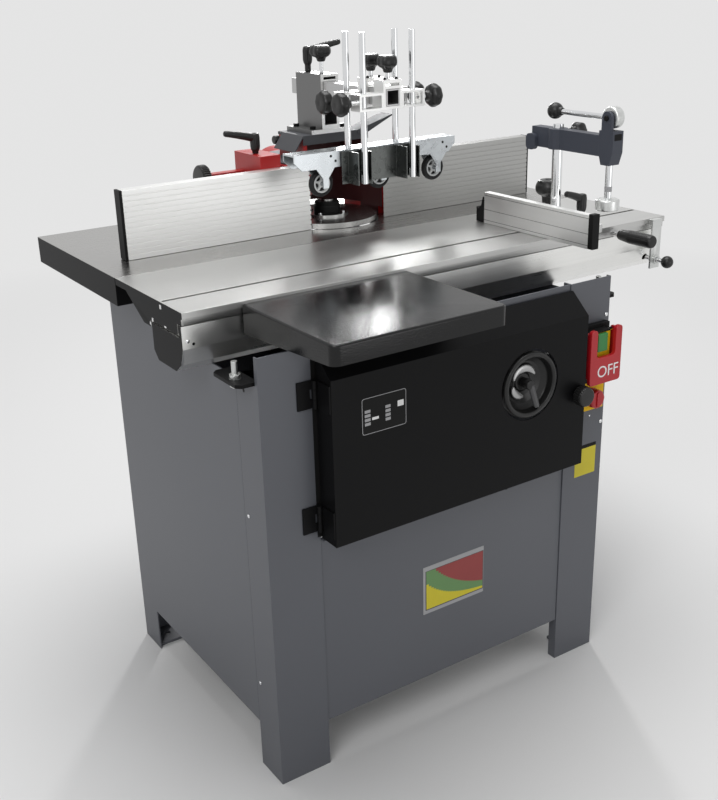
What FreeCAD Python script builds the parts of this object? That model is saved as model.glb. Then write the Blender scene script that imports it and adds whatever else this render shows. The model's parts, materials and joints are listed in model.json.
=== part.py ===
import FreeCAD, Part
import math
import os
import types
import Sketcher

# Spindle moulder with sliding table, mitre fence, hood with two fence plates and a pressure
# device. Millimetres; X to the right, Y to the back, Z up; the origin is on the floor under
# the middle of the machine. Every driving size is one row of the sheet.

SIZES = {
    # cabinet
    "cab_left": -475, "cab_front": -315, "cab_depth": 585, "post_face": 100, "post_return": 72,
    "post_lip": 20, "post_sheet": 3, "foot_size": 60, "foot_thick": 6, "foot_hole_r": 7,
    "foot_inset": 33, "panel_sheet": 3, "panel_bottom": 92, "leg_width": 72, "leg_flange": 60,
    "notch_back": 275, "panel_gap": 0.5, "panel_set": 2, "front_lip": 9, "vent_width": 160,
    "vent_height": 8, "vent_pitch": 24, "vent_low": 180, "gland_r": 11, "gland_len": 22,
    "gland_z": 130, "gland_in": 90, "bulge_half": 140, "bulge_depth": 82,
    # cast table
    "table_height": 850, "table_rim": 51, "table_left": -537.5, "table_length": 1075,
    "table_front": 65, "table_depth": 400, "table_wall": 14, "table_plate": 14, "rib_out": 10,
    "rib_in": 22, "table_bore": 106,
    # sliding table
    "slide_front": -200, "slide_back": 63.5, "slide_edge": 12, "slide_lip": 11, "slide_step": 4,
    "slide_low": 22, "slide_deep": 41, "slide_heel": 52, "deep_front": -180, "heel_front": -75,
    "heel_back": -48, "slant_back": 20, "groove_y": -119, "groove_width": 8, "groove_neck": 7,
    "groove_chamber": 16, "groove_deep": 13, "cap_thick": 4, "bay_wall": 8, "bay_top": 9,
    # rail under it
    "web_front": -193, "web_thick": 8, "rail_back": -80, "rail_bevel": 15, "flare_front": -182,
    "rail_heel": -162, "rail_wall": 9, "index_hole_r": 6.5,
    # brackets that carry the rail
    "shelf_reach": 29, "shelf_front": -305, "shelf_depth": 87, "shelf_thick": 6,
    "shelf_drop": 42, "shelf_flange": 4, "shelf_corner": 8, "stud_r": 5, "stud_out": 14,
    "stud_y": -270, "stud_nut_r": 9, "stud_nut": 7,
    # support plate, grip and index plunger on the sliding table
    "plate_left": -432, "plate_width": 324, "plate_depth": 265, "plate_sheet": 3,
    "plate_corner": 14, "grip_len": 97, "grip_r": 13, "grip_neck": 9, "grip_collar": 8,
    "index_width": 26, "index_set": 9, "index_sheet": 4, "index_pin_r": 5, "index_pin_len": 54,
    "index_out": 36, "index_ball_r": 12.5, "index_boss_r": 9, "index_boss": 6, "plate_edge": 4,
    # door
    "door_set": 2, "door_width": 546, "door_depth": 45, "door_sheet": 2, "door_gap": 0.6,
    "door_ledge": 3, "door_window_r": 65.5, "hinge_out": 5.6, "hinge_reach": 6, "hinge_r": 4.5,
    "hinge_pin_r": 2.5, "hinge_leaf": 3, "hinge_leaf_width": 30, "hinge_strap": 38,
    "hinge_height": 47, "hinge_knuckle": 15, "door_over": 1.5, "door_knob_in": 17,
    "door_knob_r": 19, "door_knob_neck": 3,
    # handwheel
    "wheel_front": -365, "wheel_r": 61, "wheel_rim": 11, "wheel_rim_len": 19,
    "wheel_web": 5, "wheel_dish": 8, "boss_r": 17, "boss_len": 30, "shaft_r": 8,
    "lock_hub_r": 9, "lock_hub": 9, "lock_arm": 42, "lock_width": 11, "lock_tilt": 79,
    "turn_gap": 0.4,
    # lift gear under the table
    "spindle_x": 0, "spindle_y": 230, "column_x": 124, "column_r": 15, "tie_thick": 10,
    "tie_half": 152, "tie_depth": 64, "screw_y": 104, "screw_r": 9, "journal_r": 7,
    "gear_out": 28, "gear_in": 18, "mesh_gap": 0.5, "screw_post": 36, "screw_post_front": 62,
    "post_gap": 30, "screw_head": 40, "bar_height": 30, "bar_thick": 10, "bar_back": 25, "fit": 0.05,
    # carriage with quill and motor
    "quill_r": 52, "quill_bore": 40, "quill_web": 30, "column_boss": 26,
    "nut_height": 30, "nut_width": 40, "nut_front": 90, "motor_x": -150, "motor_y": 40,
    "motor_r": 75, "motor_len": 185, "motor_cap_r": 60, "motor_cap": 20, "motor_plate": 15,
    "motor_edge": 10, "motor_shaft_r": 10, "motor_hole_r": 22, "bearing_width": 25,
    "bearing_in": 30, "pulley_height": 28, "pulley_flange": 4, "pulley_lip": 4,
    "motor_pulley_r": 48, "spindle_pulley_r": 36, "belt_thick": 4, "belt_gap": 0.4,
    "belt_inset": 1,
    # spindle
    "spindle_r": 20, "tail_r": 12, "nose_r": 15, "disc_r": 102.8, "disc_thick": 10.5,
    "flange_r": 44, "flange_thick": 4, "collar_r": 28, "collar_height": 7, "spindle_nut_r": 26,
    "spindle_nut": 9,
    # mitre fence and its body
    "mitre_x": 291, "mitre_left": 218, "mitre_thick": 15, "mitre_front": -304,
    "mitre_back": -14, "mitre_slot": 12, "mitre_slot_deep": 7, "ride": 0.5, "mitre_right": 335,
    "mitre_body_front": -225, "mitre_body_back": -75, "mitre_body": 16, "mitre_rise": 30,
    "mitre_upright": 9, "mitre_key": 60, "pivot_r": 3.6, "pivot_deep": 11, "mushroom_r": 25,
    "mushroom": 28, "mushroom_stem": 8, "mitre_lever_x": 312, "mitre_lever_y": -190,
    "mitre_lever_len": 44,
    # hold-down clamp
    "clamp_x": 266, "clamp_y": -167, "clamp_r": 10, "clamp_boss_r": 18, "clamp_boss": 18,
    "clamp_gap": 0.3, "arm_width": 22, "arm_tail": 60, "head_y": -300, "head_depth": 34,
    "head_width": 26, "ear_thick": 6, "ear_depth": 24, "cam_r": 19, "cam_pin_r": 4,
    "cam_gap": 1, "lever_rod_r": 5, "ball_y": -157, "ball_r": 15, "plunger_r": 6.5,
    "foot_r": 21.5, "foot_height": 20, "head_taper": 22, "head_tip": 10,
    # switch
    "switch_width": 84, "switch_depth": 12, "dial_plate_width": 66, "dial_plate": 6,
    "key_width": 46, "key_depth": 18,
    "button_height": 34, "button_width": 24, "button_sink": 7, "button_out": 5,
    "button_gap": 0.8, "paddle_width": 78, "paddle_front": -360, "paddle_thick": 8,
    "paddle_skirt": 5, "skirt_back": -333, "pivot_pin_r": 3, "pivot_y": -337, "dial_r": 19,
    "dial_front": -341, "dial_len": 12, "dial_neck_r": 12, "dial_flange": 4,
    # fence plates, carriers and hood
    "fence_y": 161, "fence_thick": 24, "left_end": -470.5, "left_tip": -80.5, "right_tip": 95,
    "right_end": 487, "fence_slot": 14, "fence_slot_deep": 8, "rib_count": 13,
    "rib_groove": 2.2, "rib_deep": 1.2, "key_gap": 0.5, "carrier_out": 175, "carrier_width": 45,
    "carrier_depth": 105, "wing_front": 200, "wing_back": 330, "chamber_r": 108,
    "hood_wall": 14, "hood_cap": 10, "dome_left": -66, "dome_right": 85, "dome_front": 203,
    "dome_back": 300, "dome_wall": 8, "port_r": 60, "port_wall": 3, "port_back": 445,
    "port_collar_r": 61.8, "port_start": 379, "chamber_back": 255,
    "adjust_y": 265, "adjust_bar": 20, "adjust_reach": 72, "adjust_r": 29, "adjust_len": 23,
    "adjust_stud_r": 6, "carrier_lever_x": -160, "carrier_lever_y": 230,
    "carrier_lever_len": 68, "lid_left": -68, "lid_right": 87, "lid_front": 200, "lid_thick": 6,
    "lid_drop": 30, "lid_lean": 22, "lid_wing": 82, "lid_sheet": 3, "lid_skirt": 13, "flap_start": 60,
    "flap_end": 147, "flap_rise": 24, "flap_depth": 40, "flap_front": 198, "screw_cap_r": 6,
    "screw_cap": 6,
    # pressure device
    "base_half": 46, "base_front": 200, "base_depth": 100, "base_thick": 8, "mast_half": 20.5,
    "mast_front": 203, "mast_back": 298, "mast_slot": 5, "mast_pocket": 14,
    "mast_pocket_deep": 46, "tube_half": 15, "tube_wall": 3, "tube_front": -12,
    "tube_back": 325, "tube_gap": 0.4, "bracket_half": 73, "bracket_height": 30,
    "bracket_depth": 30, "block_half": 20.5, "front_bracket": -11, "rear_bracket": 44,
    "cell_in": 25, "cell_out": 68, "cell_wall": 4, "block_slot": 5, "rod_x": 55, "rod_r": 6,
    "knob_r": 20, "knob_head": 22, "knob_neck": 20, "knob_stem_r": 6, "knob_stud_r": 4,
    "knob_stud": 8, "knob_hole_gap": 0.4, "knob_edge": 5, "side_knob_r": 22, "mast_knob_y": 232,
    "mast_knob_r": 22.5, "mast_knob_neck": 31, "mast_lever_x": -2, "mast_lever_y": 280,
    "mast_lever_len": 80, "mast_lever_hub": 48, "lever_hub_r": 9, "lever_hub": 38,
    "lever_arm": 11, "lever_tip": 9, "lever_rise": 13, "lever_root": 8, "shoe_back": 35,
    "shoe_front": 2, "shoe_half": 85,
    "shoe_sheet": 2, "channel_half": 15.6, "lug_height": 14, "lug_half": 8, "beam_left": -185,
    "beam_right": 185, "beam_depth": 40, "beam_sheet": 3, "beam_corner": 16,
    "roller_pitch": 131, "roller_mid": 13, "roller_r": 25, "roller_width": 14, "axle_r": 4,
    "fork_half": 20, "fork_tip": 6, "hub_r": 15, "hub_dish": 3,
}

# Heights above the table top; below it they are negative.
ABOVE_TABLE = {
    # cabinet
    "post_top": -55, "notch_top": -105, "front_panel_top": -393, "cross_low": -120, "bulge_low": -430,
    # rail under it
    "web_top": -24, "rail_top": -44, "rail_bottom": -105, "flare_low": -90, "flare_high": -62,
    # brackets that carry the rail
    "shelf_top": -96, "stud_low": -112, "stud_top": -68,
    # support plate, grip and index plunger on the sliding table
    "plate_top": -5, "plate_low": -37, "plate_heel": -55, "grip_z": -16, "index_z": -82,
    "index_low": -100,
    # door
    "door_bottom": -391, "door_corner": -102, "door_top": -66, "hinge_low": -375,
    "hinge_high": -157, "door_knob_z": -248,
    # handwheel
    "wheel_z": -203,
    # lift gear under the table
    "column_low": -430, "shelf_z": -260,
    # carriage with quill and motor
    "quill_low": -305, "quill_top": -60, "nut_low": -125, "pulley_z": -342, "shaft_low": -350,
    # spindle
    "nose_top": 42, "disc_top": 11,
    # mitre fence and its body
    "mitre_top": 62, "mitre_slot_z": 24, "mushroom_top": 93, "mitre_lever_top": 71,
    # hold-down clamp
    "clamp_top": 205, "arm_low": 160, "arm_high": 197, "head_low": 146, "head_high": 206,
    "cam_z": 228, "plunger_top": 196, "foot_low": 65,
    # switch
    "switch_low": -250, "dial_plate_low": -310, "switch_top": -138, "key_low": -225, "key_top": -145,
    "button_low": -183, "paddle_low": -242, "paddle_top": -136, "skirt_low": -230,
    "skirt_top": -142, "window_low": -190, "pivot_z": -148, "dial_z": -283,
    # fence plates, carriers and hood
    "fence_top": 127, "fence_slot_z": 55, "carrier_top": 151,
    "right_top": 105, "wing_top": 21.5, "hood_low": 16,
    "hood_top": 128, "dome_top": 172, "port_z": 66, "bar_low": 97,
    # pressure device
    "mast_top": 291, "mast_slot_z": 281, "mast_pocket_low": 194, "mast_pocket_top": 238,
    "tube_low": 247.5, "bracket_low": 242, "block_top": 294, "block_slot_z": 283,
    "rod_top": 378, "front_rod_low": 110, "rear_rod_low": 138, "shoe_low": 108, "shoe_top": 168,
    "lug_low": 113, "beam_low": 141, "beam_top": 170.5,
    "roller_z": 111, "fork_low": 104, "fork_knee": 122,
}

# Distances to the right of the right post's inner edge, of the door's middle line, and from
# the table's right end.
BESIDE_POST = {
    "switch_left": 6.5, "key_left": 28.5, "paddle_left": 12.5, "dial_x": 57.5, "dial_plate_left": 24.5,
}
FROM_DOOR_MIDDLE = {
    "wheel_x": 138,
}
FROM_TABLE_END = {
    "grip_x": -138.5, "index_x": -34.5,
}


class Size:
    """A length that carries its number and the sheet formula it comes from."""

    def __init__(self, number, text):
        self.number = number
        self.text = text

    def joined(self, other, sign, number):
        return Size(number, "(%s %s %s)" % (self.text, sign, size(other).text))

    def __add__(self, other):
        return self.joined(other, "+", self.number + size(other).number)

    def __sub__(self, other):
        return self.joined(other, "-", self.number - size(other).number)

    def __mul__(self, other):
        return self.joined(other, "*", self.number * size(other).number)

    def __truediv__(self, other):
        return self.joined(other, "/", self.number / size(other).number)

    def __radd__(self, other):
        return size(other) + self

    def __rsub__(self, other):
        return size(other) - self

    def __rmul__(self, other):
        return size(other) * self

    def __neg__(self):
        return size(0) - self


def size(item):
    return item if isinstance(item, Size) else Size(item, repr(item))


doc = FreeCAD.newDocument("spindle_moulder")
sheet = doc.addObject("Spreadsheet::Sheet", "Sizes")
ROWS = {**SIZES, **ABOVE_TABLE, **BESIDE_POST, **FROM_DOOR_MIDDLE, **FROM_TABLE_END}
for row, (name, number) in enumerate(ROWS.items(), start=1):
    sheet.set("A%d" % row, name)
    sheet.set("B%d" % row, str(number))
    sheet.setAlias("B%d" % row, name)
doc.recompute()
s = types.SimpleNamespace()


def measure(group, zero=None):
    """Puts a group of sizes on s, each counted from the same zero."""
    for name, number in group.items():
        cell = Size(number, "Sizes." + name)
        setattr(s, name, cell if zero is None else zero + cell)


measure(SIZES)
measure(ABOVE_TABLE, s.table_height)

TURN = {
    "X": FreeCAD.Rotation(FreeCAD.Vector(0, 1, 0), 90),
    "Y": FreeCAD.Rotation(FreeCAD.Vector(1, 0, 0), -90),
    "Z": FreeCAD.Rotation(),
}
NODES = []
TOUCH = 0.01


def bind(item, prop, length):
    item.setExpression(prop, size(length).text)


def put(item, x, y, z):
    bind(item, "Placement.Base.x", x)
    bind(item, "Placement.Base.y", y)
    bind(item, "Placement.Base.z", z)


def along(axis, at, start):
    """The three coordinates of a start point on an axis through at."""
    return {
        "X": (start, at[0], at[1]),
        "Y": (at[0], start, at[1]),
        "Z": (at[0], at[1], start),
    }[axis]


def slab(x, y, z):
    item = doc.addObject("Part::Box", "Slab")
    bind(item, "Length", size(x[1]) - x[0])
    bind(item, "Width", size(y[1]) - y[0])
    bind(item, "Height", size(z[1]) - z[0])
    put(item, x[0], y[0], z[0])
    return item


def rod(axis, at, span, radius):
    item = doc.addObject("Part::Cylinder", "Rod")
    item.Placement = FreeCAD.Placement(FreeCAD.Vector(), TURN[axis])
    bind(item, "Radius", radius)
    bind(item, "Height", size(span[1]) - span[0])
    put(item, *along(axis, at, span[0]))
    return item


def ball(x, y, z, radius):
    item = doc.addObject("Part::Sphere", "Ball")
    bind(item, "Radius", radius)
    put(item, x, y, z)
    return item


def fuse(*items):
    joined = doc.addObject("Part::MultiFuse", "Joined")
    joined.Shapes = list(items)
    joined.Refine = True
    return joined


def cut(base, *tools):
    item = doc.addObject("Part::Cut", "Cut")
    item.Base = base
    item.Tool = tools[0] if len(tools) == 1 else fuse(*tools)
    return item


def outline(body, role, points):
    """A closed outline; each corner is tied to the sheet in both directions."""
    plane = [f for f in body.Origin.OriginFeatures if f.Role == role][0]
    sketch = body.newObject("Sketcher::SketchObject", "Outline")
    sketch.AttachmentSupport = (plane, [""])
    sketch.MapMode = "FlatFace"
    corners = [(size(u), size(v)) for u, v in points]
    spots = [FreeCAD.Vector(u.number, v.number, 0) for u, v in corners]
    count = len(spots)
    sketch.addGeometry([Part.LineSegment(spots[i], spots[(i + 1) % count]) for i in range(count)])
    rules = []
    for i in range(count):
        rules.append(Sketcher.Constraint("Coincident", i, 2, (i + 1) % count, 1))
    for i, (u, v) in enumerate(corners):
        rules.append(Sketcher.Constraint("DistanceX", -1, 1, i, 1, u.number))
        rules.append(Sketcher.Constraint("DistanceY", -1, 1, i, 1, v.number))
    sketch.addConstraint(rules)
    for i, (u, v) in enumerate(corners):
        bind(sketch, "Constraints[%d]" % (count + 2 * i), u)
        bind(sketch, "Constraints[%d]" % (count + 2 * i + 1), v)
    return sketch


def prism(axis, points, span):
    """A flat outline carried along an axis: YZ for X, XZ for Y, XY for Z."""
    body = doc.addObject("PartDesign::Body", "Prism")
    role = {"X": "YZ_Plane", "Y": "XZ_Plane", "Z": "XY_Plane"}[axis]
    sketch = outline(body, role, points)
    pad = body.newObject("PartDesign::Pad", "Pad")
    pad.Profile = (sketch, [""])
    bind(pad, "Length", size(span[1]) - span[0])
    start = span[1] if axis == "Y" else span[0]
    put(body, *along(axis, (0, 0), start))
    return body


def turned(axis, at, start, points):
    """A profile of (radius, distance along the axis) turned about the axis."""
    body = doc.addObject("PartDesign::Body", "Turned")
    sketch = outline(body, "XZ_Plane", points)
    spin = body.newObject("PartDesign::Revolution", "Spin")
    spin.Profile = (sketch, [""])
    spin.ReferenceAxis = (sketch, ["V_Axis"])
    spin.Angle = 360
    body.Placement = FreeCAD.Placement(FreeCAD.Vector(), TURN[axis])
    put(body, *along(axis, at, start))
    return body


def rounded(body, radius, chosen):
    """Rounds the edges of a padded outline whose boxes pass a test."""
    doc.recompute()
    base = body.Tip
    names = []
    for index, edge in enumerate(base.Shape.Edges, start=1):
        if chosen(edge.BoundBox):
            names.append("Edge%d" % index)
    fillet = body.newObject("PartDesign::Fillet", "Round")
    fillet.Base = (base, names)
    bind(fillet, "Radius", radius)
    return body


def around(middle, half):
    return (size(middle) - half, size(middle) + half)


def node(name, *items):
    """One exported sub-part; several items stay separate solids of one file."""
    item = items[0]
    if len(items) > 1:
        item = doc.addObject("Part::Compound", "Group")
        item.Links = list(items)
    item.Label = name
    NODES.append((name, item))
    return item


door_left = s.cab_left + s.post_face + s.door_set
door_right = door_left + s.door_width
cab_right = door_right - s.door_over + s.post_face
cab_back = s.cab_front + s.cab_depth
table_under = s.table_height - s.table_rim
table_right = s.table_left + s.table_length
table_back = s.table_front + s.table_depth
plate_under = s.table_height - s.table_plate
measure(BESIDE_POST, cab_right - s.post_face)
measure(FROM_DOOR_MIDDLE, door_left + s.door_width / 2)
measure(FROM_TABLE_END, table_right)


# Cabinet: folded front posts with foot plates, side sheets that end in the rear legs.
def front_post(inward):
    edge = s.cab_left if inward > 0 else cab_right
    deep = s.cab_front + s.post_return
    points = [
        (edge, s.cab_front),
        (edge + inward * s.post_face, s.cab_front),
        (edge + inward * s.post_face, s.cab_front + s.post_lip),
        (edge + inward * (s.post_face - s.post_sheet), s.cab_front + s.post_lip),
        (edge + inward * (s.post_face - s.post_sheet), s.cab_front + s.post_sheet),
        (edge + inward * s.post_sheet, s.cab_front + s.post_sheet),
        (edge + inward * s.post_sheet, deep),
        (edge, deep),
    ]
    fold = (edge, edge + inward * s.post_sheet)
    notch = slab(
        fold if inward > 0 else fold[::-1],
        (s.shelf_front - s.panel_gap, deep),
        (s.shelf_top - s.shelf_thick, s.post_top),
    )
    post = cut(prism("Z", points, (0, s.post_top)), notch)
    return fuse(post, foot_plate(inward, s.post_sheet, s.cab_front, 1))


def foot_plate(inward, sheet_gap, edge_y, back):
    edge = s.cab_left if inward > 0 else cab_right
    sides = [edge + inward * sheet_gap, edge + inward * (sheet_gap + s.foot_size)]
    ends = [edge_y + back * sheet_gap, edge_y + back * (sheet_gap + s.foot_size)]
    sides = sides if inward > 0 else sides[::-1]
    ends = ends if back > 0 else ends[::-1]
    plate = slab(sides, ends, (0, s.foot_thick))
    spot = (edge + inward * s.foot_inset, edge_y + back * s.foot_inset)
    return cut(plate, rod("Z", spot, (0, s.foot_thick), s.foot_hole_r))


def side_sheet(inward):
    edge = s.cab_left if inward > 0 else cab_right
    front = s.cab_front + s.post_return
    leg = cab_back - s.leg_width
    points = [
        (front, s.panel_bottom),
        (leg, s.panel_bottom),
        (leg, 0),
        (cab_back, 0),
        (cab_back, table_under),
        (s.cab_front + s.notch_back, table_under),
        (s.cab_front + s.notch_back, s.notch_top),
        (front, s.notch_top),
    ]
    inner = edge + inward * s.panel_sheet
    span = (edge, inner) if inward > 0 else (inner, edge)
    far = edge + inward * s.leg_flange
    wide = (edge, far) if inward > 0 else (far, edge)
    flange = slab(wide, (cab_back - s.panel_sheet, cab_back), (0, table_under))
    return fuse(prism("X", points, span), flange, foot_plate(inward, s.panel_sheet, cab_back, -1))


node("front_posts", front_post(1), front_post(-1))
node("side_sheets", side_sheet(1), side_sheet(-1))

panel_x = (s.cab_left + s.post_face + s.panel_gap, cab_right - s.post_face - s.panel_gap)
panel_y = (s.cab_front + s.panel_set, s.cab_front + s.panel_set + s.panel_sheet)
front_sheet = slab(panel_x, panel_y, (s.panel_bottom, s.front_panel_top))
front_edge = slab(
    panel_x,
    (s.cab_front - s.front_lip, panel_y[1]),
    (s.front_panel_top - s.panel_sheet, s.front_panel_top),
)
cross_sheet = slab(panel_x, panel_y, (s.cross_low, s.post_top))
node("front_panel", fuse(front_sheet, front_edge), cross_sheet)

back_x = (s.cab_left + s.leg_flange, cab_right - s.leg_flange)
back_y = (cab_back - s.panel_sheet, cab_back)
middle_x = (s.cab_left + cab_right) / 2
vents = []
for step in range(6):
    low = s.vent_low + step * s.vent_pitch
    vents.append(slab(around(middle_x, s.vent_width / 2), back_y, (low, low + s.vent_height)))
gland_at = (cab_right - s.gland_in, s.gland_z)
vents.append(rod("Y", gland_at, back_y, s.gland_r))
gland = rod("Y", gland_at, (cab_back - s.panel_sheet, cab_back + s.gland_len), s.gland_r)
back_sheet = slab(back_x, back_y, (s.panel_bottom, table_under))
bulge_x = around(s.spindle_x, s.bulge_half)
bulge = slab(bulge_x, (cab_back, cab_back + s.bulge_depth), (s.bulge_low, table_under))
bulge_space = slab(
    around(s.spindle_x, s.bulge_half - s.panel_sheet),
    (back_y[0], cab_back + s.bulge_depth - s.panel_sheet),
    (s.bulge_low + s.panel_sheet, table_under),
)
node("back_panel", cut(back_sheet, bulge_space, *vents), cut(bulge, bulge_space), gland)

# Cast table: plate with rim and two ribs that stand on the side sheets.
bay_y = (s.table_front + s.table_wall, table_back - s.table_wall)
bay_z = (table_under, plate_under)
table_block = slab(
    (s.table_left, table_right), (s.table_front, table_back), (table_under, s.table_height)
)
spindle_at = (s.spindle_x, s.spindle_y)
node(
    "table",
    cut(
        table_block,
        slab((s.table_left + s.table_wall, s.cab_left - s.rib_out), bay_y, bay_z),
        slab((s.cab_left + s.rib_in, cab_right - s.rib_in), bay_y, bay_z),
        slab((cab_right + s.rib_out, table_right - s.table_wall), bay_y, bay_z),
        rod("Z", spindle_at, (table_under, s.table_height), s.table_bore),
    ),
)

# Sliding table and the rail that it runs on.
slide_lip_z = s.table_height - s.slide_lip
slide_low_z = s.table_height - s.slide_low
slide_deep_z = s.table_height - s.slide_deep
slide_heel_z = s.table_height - s.slide_heel
slide_edge_z = s.table_height - s.slide_edge
slide_shape = [
    (s.slide_front, s.table_height),
    (s.slide_front, slide_lip_z),
    (s.slide_front + s.slide_step, slide_lip_z),
    (s.slide_front + s.slide_step, slide_low_z),
    (s.deep_front, slide_low_z),
    (s.deep_front, slide_deep_z),
    (s.heel_front, slide_deep_z),
    (s.heel_front, slide_heel_z),
    (s.heel_back, slide_heel_z),
    (s.slant_back, slide_edge_z),
    (s.slide_back, slide_edge_z),
    (s.slide_back, s.table_height),
]
run_x = (s.table_left + s.cap_thick, table_right - s.cap_thick)
left_cap = (s.table_left, s.table_left + s.cap_thick)
right_cap = (table_right - s.cap_thick, table_right)
slot_z = s.table_height - s.groove_deep
neck_z = s.table_height - s.groove_neck
bay_high = s.table_height - s.bay_top
chamber = s.groove_chamber / 2
slide_top = cut(
    prism("X", slide_shape, run_x),
    slab(run_x, around(s.groove_y, s.groove_width / 2), (neck_z, s.table_height)),
    slab(run_x, around(s.groove_y, chamber), (slot_z, neck_z)),
    slab(
        run_x,
        (s.deep_front + s.bay_wall, s.groove_y - chamber - s.bay_wall),
        (slide_deep_z + s.bay_wall, bay_high),
    ),
    slab(
        run_x,
        (s.groove_y + chamber + s.bay_wall, s.heel_back - s.bay_wall),
        (slide_deep_z + s.bay_wall, bay_high),
    ),
)
slide_caps = [prism("X", slide_shape, left_cap), prism("X", slide_shape, right_cap)]

rail_shape = [
    (s.web_front, s.web_top),
    (s.web_front, s.flare_high),
    (s.flare_front, s.flare_low),
    (s.rail_heel, s.rail_bottom),
    (s.rail_back - s.rail_bevel, s.rail_bottom),
    (s.rail_back, s.rail_bottom + s.rail_bevel),
    (s.rail_back, s.rail_top),
    (s.web_front + s.web_thick, s.rail_top),
    (s.web_front + s.web_thick, s.web_top),
]
hollow_shape = [
    (s.web_front + s.rail_wall, s.rail_top - s.rail_wall),
    (s.web_front + s.rail_wall, s.flare_high),
    (s.flare_front + s.rail_wall, s.flare_low),
    (s.rail_heel, s.rail_bottom + s.rail_wall),
    (s.rail_back - s.rail_bevel, s.rail_bottom + s.rail_wall),
    (s.rail_back - s.rail_bevel, s.rail_top - s.rail_wall),
]
rail_hollow = prism("X", hollow_shape, run_x)
index_hole = rod(
    "Y",
    (s.index_x, s.index_z),
    (s.web_front, s.flare_front + s.rail_wall),
    s.index_hole_r,
)
rail = cut(prism("X", rail_shape, run_x), rail_hollow, index_hole)
node("slide_rail", rail, prism("X", rail_shape, left_cap), prism("X", rail_shape, right_cap))


# Side brackets in the posts' notches, each with a levelling stud between two nuts.
def rail_bracket(outward):
    edge = s.cab_left if outward < 0 else cab_right
    far = edge + outward * s.shelf_reach
    knee = far - outward * s.shelf_corner
    near = edge - outward * s.post_sheet
    inner = near - outward * s.shelf_flange
    back = s.shelf_front + s.shelf_depth
    low = s.shelf_top - s.shelf_thick
    points = [
        (inner, s.shelf_front),
        (knee, s.shelf_front),
        (far, s.shelf_front + s.shelf_corner),
        (far, back - s.shelf_corner),
        (knee, back),
        (inner, back),
    ]
    shelf = prism("Z", points, (low, s.shelf_top))
    flange = slab(
        (near, inner) if outward < 0 else (inner, near),
        (s.shelf_front, back),
        (s.shelf_top - s.shelf_drop, s.shelf_top),
    )
    spot = (edge + outward * s.stud_out, s.stud_y)
    stud_profile = [
        (0, 0),
        (s.stud_r, 0),
        (s.stud_r, low - s.stud_nut - s.stud_low),
        (s.stud_nut_r, low - s.stud_nut - s.stud_low),
        (s.stud_nut_r, low - s.stud_low),
        (s.stud_r, low - s.stud_low),
        (s.stud_r, s.shelf_top - s.stud_low),
        (s.stud_nut_r, s.shelf_top - s.stud_low),
        (s.stud_nut_r, s.shelf_top + s.stud_nut - s.stud_low),
        (s.stud_r, s.shelf_top + s.stud_nut - s.stud_low),
        (s.stud_r, s.stud_top - s.stud_low),
        (0, s.stud_top - s.stud_low),
    ]
    stud_bore = rod("Z", spot, (low, s.shelf_top), s.stud_r)
    return [cut(fuse(shelf, flange), stud_bore), turned("Z", spot, s.stud_low, stud_profile)]


node("rail_brackets", *rail_bracket(-1), *rail_bracket(1))

# Folded support plate in front of the sliding table.
plate_right = s.plate_left + s.plate_width
plate_front = s.slide_front - s.plate_depth
plate_skin = prism(
    "X",
    [
        (plate_front, s.plate_low),
        (s.slide_front, s.plate_heel),
        (s.slide_front, s.plate_top),
        (plate_front, s.plate_top),
    ],
    (s.plate_left, plate_right),
)
space_x = (s.plate_left + s.plate_sheet, plate_right - s.plate_sheet)
space_y = (plate_front + s.plate_sheet, s.slide_front - s.plate_sheet)
plate_space = prism(
    "Z",
    [
        (space_x[0], space_y[0]),
        (space_x[1], space_y[0]),
        (space_x[1], space_y[1]),
        (space_x[0], space_y[1]),
    ],
    (s.plate_heel - s.plate_sheet, s.plate_top - s.plate_sheet),
)


def upright_at(y):
    """Picks the edges that stand upright on a front line."""
    return lambda box: abs(box.YMax - y.number) < TOUCH and box.XLength < TOUCH


def plate_rim(box):
    """The plate's top outline, apart from the edge on the sliding table."""
    on_top = box.ZMin > s.plate_top.number - TOUCH
    return on_top and box.YMin < s.slide_front.number - TOUCH


rounded(plate_skin, s.plate_corner, upright_at(plate_front))
rounded(plate_skin, s.plate_edge, plate_rim)
rounded(plate_space, s.plate_corner - s.plate_sheet, upright_at(space_y[0]))
node("support_plate", cut(plate_skin, plate_space))

grip_profile = [
    (0, 0),
    (s.grip_r, 0),
    (s.grip_r, -s.grip_collar),
    (s.grip_neck, -(2 * s.grip_collar)),
    (s.grip_r, -(4 * s.grip_collar)),
    (s.grip_r, s.grip_collar - s.grip_len),
    (s.grip_neck, -s.grip_len),
    (0, -s.grip_len),
]
node("push_grip", turned("Y", (s.grip_x, s.grip_z), s.slide_front, grip_profile))

# Index plunger: bracket on the sliding table, spring pin with a ball.
index_back = s.slide_front - s.index_set
index_front = index_back - s.index_sheet
index_wide = around(s.index_x, s.index_width / 2)
index_leaf = slab(index_wide, (index_front, index_back), (s.index_low, s.table_height - s.ride))
index_foot = slab(index_wide, (index_back, s.slide_front), (slide_lip_z, s.table_height - s.ride))
index_at = (s.index_x, s.index_z)
index_boss = rod("Y", index_at, (index_front - s.index_boss, index_front), s.index_boss_r)
index_bore = rod(
    "Y",
    index_at,
    (index_front - s.index_boss, index_back),
    s.index_pin_r + s.turn_gap,
)
index_holder = cut(fuse(index_leaf, index_foot, index_boss), index_bore)
node("sliding_table", slide_top, index_holder, *slide_caps)
pin_front = index_back - s.index_out
pin_span = (pin_front, pin_front + s.index_pin_len)
index_pin = rod("Y", index_at, pin_span, s.index_pin_r)
index_ball = ball(s.index_x, pin_span[0], s.index_z, s.index_ball_r)
node("index_plunger", fuse(index_pin, index_ball))

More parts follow.
